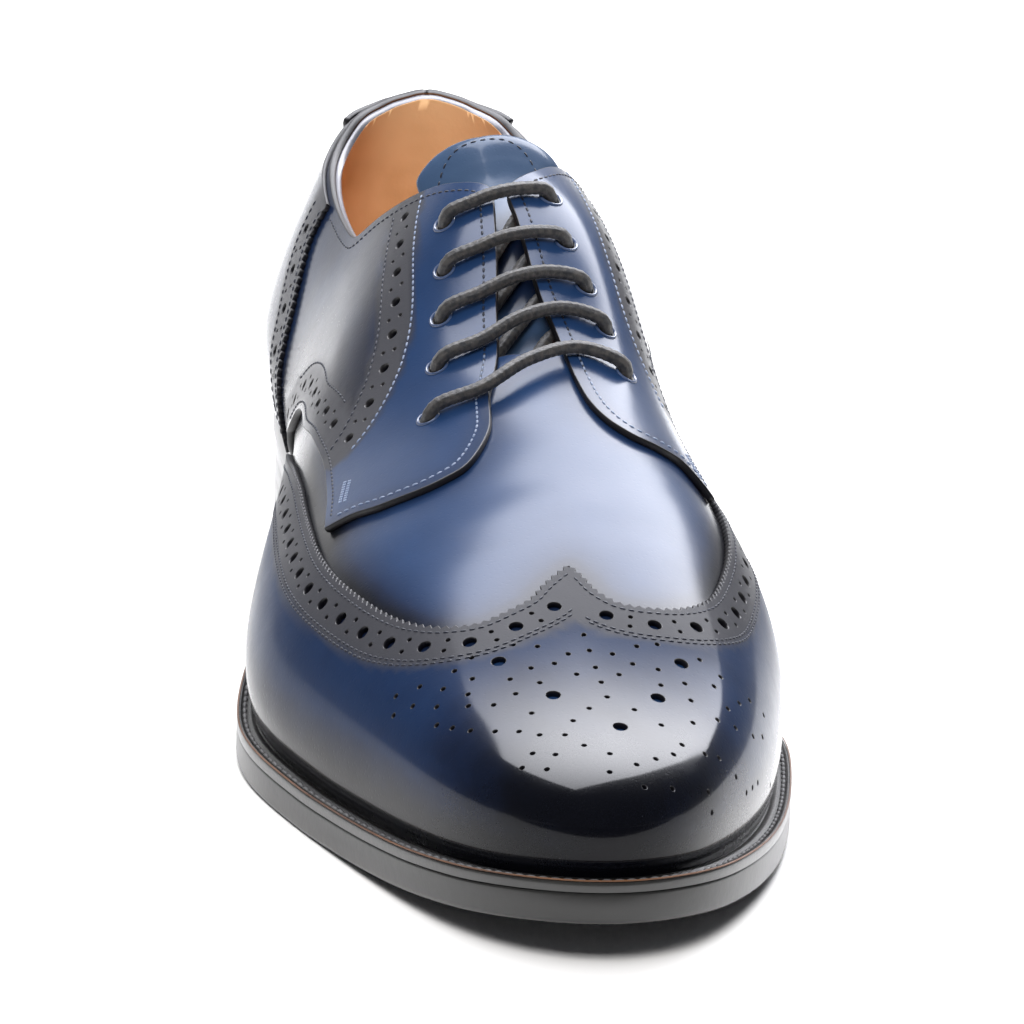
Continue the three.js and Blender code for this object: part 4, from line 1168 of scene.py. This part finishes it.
def throughPoints(points, step):
    ends = np.concatenate([[2 * points[0] - points[1]], points, [2 * points[-1] - points[-2]]])
    dense = []
    for i in range(1, len(ends) - 2):
        p0, p1, p2, p3 = ends[i - 1 : i + 3]
        a, b, c = (math.sqrt(np.linalg.norm(q - p)) for p, q in ((p0, p1), (p1, p2), (p2, p3)))
        m1 = (p2 - p1) + b * ((p1 - p0) / a - (p2 - p0) / (a + b))
        m2 = (p2 - p1) + b * ((p3 - p2) / c - (p3 - p1) / (b + c))
        t = np.linspace(0, 1, 24, endpoint=False)[:, None]
        dense.append((2 * t**3 - 3 * t**2 + 1) * p1 + (t**3 - 2 * t**2 + t) * m1 + (3 * t**2 - 2 * t**3) * p2 + (t**3 - t**2) * m2)
    dense = np.concatenate([*dense, points[-1:]])
    lengths = np.concatenate([[0], np.cumsum(np.linalg.norm(np.diff(dense, axis=0), axis=1))])
    stops = np.linspace(0, lengths[-1], int(lengths[-1] / step))
    return np.stack([np.interp(stops, lengths, dense[:, k]) for k in range(3)], -1), stops


def framesAlong(path):
    along = tangents(path)
    side = unit(np.cross(along[0], (0.3, 0.1, 1)))
    sides = []
    for direction in along:
        side = unit(side - direction * side.dot(direction))
        sides.append(side)
    sides = np.array(sides)
    return along, sides, np.cross(along, sides)


path, stops = throughPoints(lacePath(), lace["step"])
along, sideways, upwards = framesAlong(path)
angle = np.linspace(0, 2 * np.pi, lace["sides"], endpoint=False)
phase = stops[:, None] * lace["twist"]
weave = np.cos(lace["strands"] / 2 * angle[None, :] + phase) * np.cos(lace["strands"] / 2 * angle[None, :] - phase)
radius = lace["diameter"] / 2 * (1 + 0.07 * weave)
points = path[:, None] + radius[..., None] * (np.cos(angle)[None, :, None] * sideways[:, None] + np.sin(angle)[None, :, None] * upwards[:, None])
ring = np.arange(points.shape[0] * lace["sides"]).reshape(points.shape[:2])
nextRing = np.roll(ring, -1, 1)
faces = np.stack([ring[:-1], nextRing[:-1], nextRing[1:], ring[1:]], -1).reshape(-1, 4).tolist()
faces += [ring[0][::-1].tolist(), ring[-1].tolist()]
cord = Finish("waxed cord")
cordNoise = cord.noise(900, 3)
cordTone = cord.mix(cordNoise.within(0.3, 0.7), color(0.016, 0.017, 0.02), color(0.05, 0.046, 0.044))
cordFinish = cord.shade(cordTone, 0.55, cord.bump(cord.noise(2600, 2), 0.4, 0.0003), Sheen_Weight=0.15)
# A raised ring round each eyelet, paler than the leather: the ring's shape is the hole's rim, and its pale colour is a
# painted highlight for the light caught on that edge.
rims = {"radius": 2.15, "thick": 0.34, "level": 1.62}
rimAngle = np.linspace(0, 2 * np.pi, 12, endpoint=False)
rimPoints, rimFaces = [], []
for side in (1, -1):
    rounds = circles(eyeletPlaces(side), rims["radius"], 28)
    for loop in rounds:
        centre = skin(loop[:, 0], loop[:, 1], rims["level"])
        up = lastNormal(loop[:, 0], loop[:, 1])
        out = unit(centre - centre.mean(0))
        ringed = centre[:, None] + rims["thick"] * (
            np.cos(rimAngle)[None, :, None] * out[:, None] + np.sin(rimAngle)[None, :, None] * up[:, None]
        )
        ids = sum(len(r) for r in rimPoints) + np.arange(28 * 12).reshape(28, 12)
        after, beyond = np.roll(ids, -1, 0), np.roll(np.roll(ids, -1, 0), -1, 1)
        rimFaces += np.stack([ids, np.roll(ids, -1, 1), beyond, after], -1).reshape(-1, 4).tolist()
        rimPoints.append(ringed.reshape(-1, 3))
rimHighlightFinish = plainFinish("eyelet rim painted highlight", color(0.05, 0.075, 0.15), color(0.03, 0.05, 0.11), 0.25, 300, 0.05, 0.0002, 0.6, 0.1)
makePiece("eyelet_rims_painted_highlight", np.concatenate(rimPoints), rimFaces, [rimHighlightFinish], None, None, ())
makePiece("lace_cord", points.reshape(-1, 3), faces, [cordFinish], None, None, ["lace"])
print("lace made")


# The sole's parts are swept round the shoe: u runs from the heel's back along the outer side to the
# toe at 11 and back along the inner side to 22.
def plan(u, distance):
    u = np.asarray(u, float) % (2 * toe)

    def foot(v):
        row, side = wrapped(v, 1.0)
        return np.stack(footOf(row, side > 0), -1)

    step = 0.01
    along = unit(foot(u + step) - foot(u - step))
    return foot(u) + np.stack([along[..., 1], -along[..., 0]], -1) * np.asarray(distance, float)[..., None]


def rowAt(u):
    return wrapped(np.asarray(u, float) % (2 * toe), 1.0)


def evenTurns(count):
    u = np.linspace(0, 2 * toe, 3000)
    edge = plan(u, outsoleEdge(rowAt(u)[0]))
    lengths = np.concatenate([[0], np.cumsum(np.linalg.norm(np.diff(edge, axis=0), axis=1))])
    return np.interp(np.linspace(0, lengths[-1], count + 1), lengths, u)[:-1]


def loopFaces(rings, count, start=0):
    ids = start + np.arange(rings * count).reshape(rings, count)
    following = np.roll(ids, -1, 1)
    return np.stack([ids[:-1], ids[1:], following[1:], following[:-1]], -1).reshape(-1, 4)


turns = evenTurns(520)
turnRows, turnSides = rowAt(turns)
soleEdge = outsoleEdge(turnRows)

welt = {
    "thickness": 2.8,
    "side": [(0.0, 0.35), (0.0, 0.75), (-0.02, 1.6), (0.0, 2.2), (0.035, 2.52)],
    "top": [
        (0.09, 2.62), (0.15, 2.6), (0.19, 2.3), (0.3, 2.18), (0.41, 2.3), (0.47, 2.62), (0.56, 2.66), (0.68, 2.5),
        (0.76, 2.42), (0.8, 2.9), (0.85, 3.05), (0.9, 2.9), (0.94, 2.3), (1.04, 1.8), (1.04, 0.4),
    ],
    "channel": 0.3,
    "stitchPitch": 3.2,
}
share = np.minimum(1, (welt["thickness"] + 0.3) / turn(turnRows))
innerEdge = wallBulge(turnRows, turnSides > 0, share) - 0.1
rings = []
for across, height in welt["side"] + welt["top"]:
    distance = soleEdge + (innerEdge - soleEdge) * across
    spot = plan(turns, distance)
    rings.append(np.column_stack([spot, seat(spot[:, 1]) + height - 0.3]))
weltFinish = plainFinish("welt leather", color(0.004, 0.004, 0.004), color(0.01, 0.0095, 0.009), 0.4, 400, 0.3, 0.0004, 0.3)
edgeFinish = plainFinish("trimmed edge", color(0.012, 0.012, 0.0118), color(0.021, 0.0205, 0.0195), 0.3, 260, 0.16, 0.0003, 0.5, 0.2)
faces = loopFaces(len(rings), len(turns))[:, ::-1].tolist()
kinds = np.repeat(np.arange(len(rings) - 1) < len(welt["side"]) - 1, len(turns)).astype(int)
makePiece("welt_leather", np.concatenate(rings), faces, [weltFinish, edgeFinish], kinds, None, ["welt"])
seamTurns = evenTurns(int(round(840 / welt["stitchPitch"])))
seamRows, seamSides = rowAt(seamTurns)
keep = seamRows > 2.9
seamTurns, seamRows, seamSides = seamTurns[keep], seamRows[keep], seamSides[keep]
inner = wallBulge(seamRows, seamSides > 0, np.minimum(1, 3.1 / turn(seamRows))) - 0.1
distance = outsoleEdge(seamRows) + (inner - outsoleEdge(seamRows)) * welt["channel"]
spot, ahead = plan(seamTurns, distance), plan(seamTurns + 0.01, distance)
points = np.column_stack([spot, seat(spot[:, 1]) + 2.05])
nextPoints = np.column_stack([ahead, seat(ahead[:, 1]) + 2.05])
soleThread.addAt(points, unit(nextPoints - points), np.tile([0.0, 0, 1], (len(points), 1)), 2.3, 0.9)
print("welt made")

# The outsole with its edge, its stitched channel and its tread.
outsole = {
    "side": [(-0.35, 6.3), (-0.1, 6.05), (0.0, 5.6), (0.08, 3.4), (0.05, 1.2), (-0.12, 0.55), (-0.5, 0.12), (-1.0, 0.0)],
    "under": [(-1.8, 0.0), (-6, 0.0), (-10.6, 0.0), (-10.9, 0.55), (-11.7, 0.55), (-12.0, 0.0), (-13.5, 0.0)],
    "inward": [0.12, 0.3, 0.5, 0.7, 0.86, 1.0],
    "channel": -11.3,
}
rings, treadField = [], []
for away, height in outsole["side"] + outsole["under"]:
    spot = plan(turns, soleEdge + away)
    base = underside(spot[:, 1])
    fade = np.clip((turnRows - 3.2) / 0.4, 0, 1) if (away, height) in outsole["under"] else 1.0
    rings.append(np.column_stack([spot, base + height * fade]))
    treadField.append(np.zeros(len(turns)))
edgeSpot = plan(turns, soleEdge - 13.5)
centreSpot = np.stack([spine["x"](turnRows), spine["y"](turnRows)], -1)
for amount in outsole["inward"]:
    spot = edgeSpot + (centreSpot - edgeSpot) * amount
    rings.append(np.column_stack([spot, underside(spot[:, 1])]))
    treadField.append(np.full(len(turns), 1.0))
topSpot = plan(turns, soleEdge - 8)
rings.insert(0, np.column_stack([topSpot, underside(topSpot[:, 1]) + 6.25]))
treadField.insert(0, np.zeros(len(turns)))
points = np.concatenate(rings)
tread = np.concatenate(treadField) * np.clip((points[:, 1] - 128) / 3, 0, 1)
soleFinish = Finish("sole")
place = soleFinish.place()
parted = soleFinish.node("ShaderNodeSeparateXYZ", {}, {0: place}, "X")
partedY = soleFinish.node("ShaderNodeSeparateXYZ", {}, {0: place}, "Y")
zigzag = (partedY * 170).math("PINGPONG", 0.5)
diagonal = ((parted * 420 + zigzag * 1.6) * 6.283).math("SINE")
crossing = ((parted * 420 - zigzag * 1.6) * 6.283).math("SINE")
treadHeight = (diagonal * crossing) * soleFinish.field("tread")
soleNoise = soleFinish.noise(500, 3)
soleCloud = soleFinish.noise(45, 3)
soleDark = soleFinish.mix(soleCloud.within(0.3, 0.75), color(0.006, 0.006, 0.007), color(0.013, 0.013, 0.014))
soleTone = soleFinish.mix(soleFinish.field("edge"), soleDark, color(0.014, 0.014, 0.0135))
soleNormal = soleFinish.bump(treadHeight * 0.9 + soleNoise * 0.18, 0.6, 0.0004)
solePaint = soleFinish.shade(soleTone, (soleCloud - 0.5) * 0.16 + 0.34, soleNormal, Coat_Weight=0.25, Coat_Roughness=0.22)
faces = loopFaces(len(rings), len(turns)).tolist()
edgeField = np.repeat((np.arange(len(rings)) < 6).astype(float), len(turns))
makePiece("outsole_black", points, faces, [solePaint], None, {"tread": tread, "edge": edgeField}, ["outsole"])
seamTan = plainFinish("sole seam", color(0.13, 0.055, 0.022), color(0.07, 0.03, 0.014), 0.5)
rings = []
for away, height in ((-0.1, 2.2), (0.07, 2.28), (0.1, 2.4), (0.0, 2.5), (-0.25, 2.5)):
    spot = plan(turns, soleEdge + away)
    rings.append(np.column_stack([spot, seat(spot[:, 1]) + height]))
makePiece("sole_seam_line", np.concatenate(rings), loopFaces(len(rings), len(turns))[:, ::-1].tolist(), [seamTan],
          None, None, ())
channelTurns = evenTurns(240)
channelRows, channelSides = rowAt(channelTurns)
channelTurns = channelTurns[channelRows > 3.35]
channelRows = rowAt(channelTurns)[0]
spot = plan(channelTurns, outsoleEdge(channelRows) + outsole["channel"])
ahead = plan(channelTurns + 0.01, outsoleEdge(channelRows) + outsole["channel"])
points = np.column_stack([spot, underside(spot[:, 1]) + 0.42])
nextPoints = np.column_stack([ahead, underside(ahead[:, 1]) + 0.42])
soleThread.addAt(points, unit(nextPoints - points), np.tile([0.0, 0, -1], (len(points), 1)), 2.4, 0.7)
print("outsole made")

# The heel: stacked lifts with a hollow breast, and a top piece in two parts.
heel = {"length": 74.0, "hollow": 2.5, "inset": 0.6, "topPiece": 6.0, "lifts": (0.28, 0.52, 0.76), "slant": -0.3}


def heelOutline(inset):
    u = np.linspace(-3.6, 3.6, 900)
    edge = plan(u, outsoleEdge(np.abs(u)) - inset)
    half = last["ball"] * 0.36
    radius = (half**2 + heel["hollow"] ** 2) / (2 * heel["hollow"])
    centre = heel["length"] + radius - heel["hollow"]
    breast = centre - np.sqrt(np.maximum(radius**2 - edge[:, 0] ** 2, 0))
    edge = edge[edge[:, 1] < np.minimum(breast, heel["length"] + 2)]
    x = np.linspace(edge[-1, 0], edge[0, 0], 42)[1:-1]
    arc = np.column_stack([x, centre - np.sqrt(radius**2 - x**2)])
    lengths = np.concatenate([[0], np.cumsum(np.linalg.norm(np.diff(edge, axis=0), axis=1))])
    stops = np.linspace(0, lengths[-1], 200)
    edge = np.stack([np.interp(stops, lengths, edge[:, k]) for k in (0, 1)], -1)
    return np.concatenate([edge, arc])


def flatEnds(piece):
    for face in list(piece.data.polygons)[-2:]:
        face.use_smooth = False


def slab(outline, levels):
    along = unit(np.roll(outline, -1, 0) - np.roll(outline, 1, 0))
    outward = np.stack([along[:, 1], -along[:, 0]], -1)
    rings = []
    for away, height in levels:
        spot = outline + outward * away
        z = height(spot[:, 1]) if callable(height) else np.full(len(spot), float(height))
        rings.append(np.column_stack([spot, z]))
    faces = loopFaces(len(rings), len(outline)).tolist()
    ids = np.arange(len(rings) * len(outline)).reshape(len(rings), -1)
    return np.concatenate(rings), faces + [ids[0].tolist(), ids[-1][::-1].tolist()]


outlineHeel = heelOutline(heel["inset"])
topOfHeel = 6.1
levels = [(-0.6, lambda y: underside(y) + 0.05), (-0.1, lambda y: underside(y) - 0.05), (0.0, lambda y: underside(y) - 0.5)]
for lift in heel["lifts"][::-1]:
    for away, shift in ((0.0, 0.16), (-0.07, 0.0), (0.0, -0.16)):
        levels.append((away, lambda y, lift=lift, shift=shift: topOfHeel + (underside(y) - topOfHeel) * lift + shift))
levels += [(0.0, topOfHeel + 0.35), (-0.2, topOfHeel)]
points, faces = slab(outlineHeel, levels)
heelFinish = plainFinish("heel stack", color(0.005, 0.005, 0.006), color(0.011, 0.0105, 0.011), 0.28, 300, 0.12, 0.0003, 0.4, 0.15)
flatEnds(makePiece("heel_stack", points, faces, [heelFinish], None, None, ["heel_block"]))


def halfOutline(outline, front):
    direction = np.array([math.cos(heel["slant"]), math.sin(heel["slant"])])
    across = np.array([-direction[1], direction[0]])
    middle = np.array([0.0, heel["length"] * 0.56])
    away = (outline - middle) @ across
    away = away - 0.35 if front else -away - 0.35
    kept = []
    for i in range(len(outline)):
        a, b = away[i], away[(i + 1) % len(outline)]
        p, q = outline[i], outline[(i + 1) % len(outline)]
        if a >= 0:
            kept.append(p)
        if (a >= 0) != (b >= 0):
            kept.append(p + (q - p) * a / (a - b))
    return np.array(kept)


rubberFinish = plainFinish("rubber top piece", color(0.011, 0.011, 0.012), color(0.02, 0.02, 0.021), 0.55, 500, 0.4, 0.0005)
frontFinish = plainFinish("front top piece", color(0.012, 0.012, 0.013), color(0.022, 0.021, 0.022), 0.4, 500, 0.25, 0.0004)
for front, finish, name in ((True, frontFinish, "front"), (False, rubberFinish, "back")):
    outline = halfOutline(outlineHeel, front)
    levels = [(-0.3, 6.08), (0.0, 5.8), (0.02, 3.0), (0.0, 0.6), (-0.15, 0.15), (-0.5, 0.0)]
    points, faces = slab(outline, levels)
    flatEnds(makePiece(f"top_piece_{name}_layer", points, faces, [finish], None, None, [f"top_piece_{name}"]))
direction = np.array([math.cos(heel["slant"]), math.sin(heel["slant"])])
middle = np.array([-0.5, heel["length"] * 0.56])
ends = [middle - direction * 32.6, middle + direction * 31.6]
acrossSlant = np.array([-direction[1], direction[0]]) * 0.33
strip = np.array([ends[0] - acrossSlant, ends[1] - acrossSlant, ends[1] + acrossSlant, ends[0] + acrossSlant])
points, faces = slab(strip, [(0, 5.9), (0, 0.08)])
seamPale = plainFinish("top piece seam", color(0.3, 0.28, 0.24), color(0.22, 0.2, 0.17), 0.6)
makePiece("top_piece_seam", points, faces, [seamPale], None, None, ())
print("heel made")

# The sock inside.
sock = {"base": 1.9, "thickness": 2.2, "edge": -1.9}
rings = []
for away, height in ((0, 0.0), (0, 1.7), (-0.5, 2.1), (-1.5, 2.2)):
    spot = plan(turns, np.full(len(turns), sock["edge"] + away))
    rings.append(np.column_stack([spot, seat(spot[:, 1]) + sock["base"] + height]))
edgeSpot = plan(turns, np.full(len(turns), sock["edge"] - 1.5))
for amount in (0.15, 0.35, 0.6, 0.8, 1.0):
    spot = edgeSpot + (centreSpot - edgeSpot) * amount
    rings.append(np.column_stack([spot, seat(spot[:, 1]) + sock["base"] + 2.2]))
sockFinish = plainFinish("sock leather", color(0.44, 0.19, 0.065), color(0.33, 0.13, 0.045), 0.48, 240, 0.2)
makePiece("insole_sock", np.concatenate(rings), loopFaces(len(rings), len(turns))[:, ::-1].tolist(), [sockFinish],
          None, None, ["insole"])

threadDark = plainFinish("dark thread", color(0.006, 0.008, 0.016), color(0.014, 0.017, 0.03), 0.5, 900, 0.3)
threadPale = plainFinish("blue thread", color(0.16, 0.2, 0.3), color(0.09, 0.13, 0.22), 0.45, 900, 0.3)
threadSole = plainFinish("welt thread", color(0.07, 0.07, 0.075), color(0.12, 0.12, 0.125), 0.5, 900, 0.3)
darkThread.make("seams_dark", threadDark, "lace_grey")
paleThread.make("seams_facing", threadPale, "lace_grey")
soleThread.make("seams_welt", threadSole, "lace_grey")
print("seams made")

# The room: a pale floor that sweeps up behind, soft boxes, and the photo's view of the one shoe.
studio = {
    "floor": color(0.86, 0.86, 0.87),
    "world": (0.92, 0.94, 1.0, 1.0),
    "worldStrength": 0.12,
    "camera": (0.2002, 1.4235, 0.4827),
    "aim": (-0.0044, 0.0, 0.0415),
    "roll": 2.33,
    "lens": 261.0,
}
floorMesh = bpy.data.meshes.new("floor")
width, back, up = 6.0, -3.0, 3.0
profile = [(3.5, 0.0), (back + 1.0, 0.0)]
profile += [(back + 1.0 - math.sin(a), 1.0 - math.cos(a)) for a in np.linspace(0.1, math.pi / 2, 12)]
profile += [(back, up)]
floorPoints = [(x, y, z) for y, z in profile for x in (-width, width)]
floorFaces = [(2 * i, 2 * i + 1, 2 * i + 3, 2 * i + 2) for i in range(len(profile) - 1)]
floorMesh.from_pydata(floorPoints, [], floorFaces)
floorMesh.polygons.foreach_set("use_smooth", np.full(len(floorFaces), True))
floor = bpy.data.objects.new("floor", floorMesh)
bpy.context.scene.collection.objects.link(floor)
floorFinish = Finish("floor")
floorMesh.materials.append(floorFinish.shade(studio["floor"], 0.55))


# A black card on the floor ahead of the toe, seen only in reflections, keeps the toe deep.
card = bpy.data.meshes.new("card")
card.from_pydata([(-0.9, 0.215, 0.001), (0.9, 0.215, 0.001), (0.9, 2.6, 0.001), (-0.9, 2.6, 0.001)], [], [(0, 1, 2, 3)])
cardPiece = bpy.data.objects.new("card", card)
bpy.context.scene.collection.objects.link(cardPiece)
cardFinish = Finish("card")
card.materials.append(cardFinish.shade(color(0.01, 0.01, 0.011), 0.9))
cardPiece.visible_camera = False
cardPiece.visible_diffuse = False
cardPiece.visible_shadow = False


def softBox(name, place, aim, size, power, tint=(1.0, 1.0, 1.0), shows="both", spin=0.0):
    light = bpy.data.lights.new(name, "AREA")
    light.shape = "RECTANGLE"
    light.size, light.size_y = size
    light.energy = power
    light.color = tint
    lamp = bpy.data.objects.new(name, light)
    lamp.location = place
    lamp.rotation_euler = (0, 0, spin) if spin else (Vector(aim) - Vector(place)).to_track_quat("-Z", "Y").to_euler()
    lamp.visible_glossy = shows != "diffuse"
    lamp.visible_diffuse = shows != "glossy"
    bpy.context.scene.collection.objects.link(lamp)


softBox("strip mirror", (-0.6, -1.0, 1.05), None, (2.5, 0.75), 80.0, (0.93, 0.94, 1.0), "glossy", math.radians(34.8))
softBox("strip light", (-0.4, -0.8, 1.0), (0, 0.04, 0.05), (1.2, 0.6), 14.0, (0.97, 0.98, 1.0), "diffuse")
softBox("fill above", (0.1, -0.5, 2.0), (0, -0.5, 0), (2.6, 2.4), 46.0, (1.0, 1.0, 1.0), "diffuse")
softBox("fill back", (0.3, -1.6, 1.8), (0.2, -2.2, 0), (2.5, 1.5), 32.0, (1.0, 1.0, 1.0), "diffuse")
softBox("fill front", (0.25, 1.0, 1.5), (0, -0.1, 0.06), (0.9, 0.7), 30.0, (1.0, 0.98, 0.95), "diffuse")
world = bpy.data.worlds.new("studio")
bpy.context.scene.world = world
world.use_nodes = True
world.node_tree.nodes["Background"].inputs[0].default_value = studio["world"]
world.node_tree.nodes["Background"].inputs[1].default_value = studio["worldStrength"]
bpy.context.scene.view_settings.view_transform = "Standard"

cameraData = bpy.data.cameras.new("camera")
cameraData.sensor_width = 36
cameraData.lens = studio["lens"]
cameraData.clip_start, cameraData.clip_end = 0.1, 20
camera = bpy.data.objects.new("camera", cameraData)
ahead = (Vector(studio["aim"]) - Vector(studio["camera"])).normalized()
right = ahead.cross(Vector((0, 0, 1))).normalized()
upward = right.cross(ahead)
turned = math.radians(studio["roll"])
right, upward = right * math.cos(turned) + upward * math.sin(turned), upward * math.cos(turned) - right * math.sin(turned)
basis = Matrix((right, upward, -ahead)).transposed().to_4x4()
camera.matrix_world = Matrix.Translation(studio["camera"]) @ basis
bpy.context.scene.collection.objects.link(camera)
bpy.context.scene.camera = camera

print("scene ready")
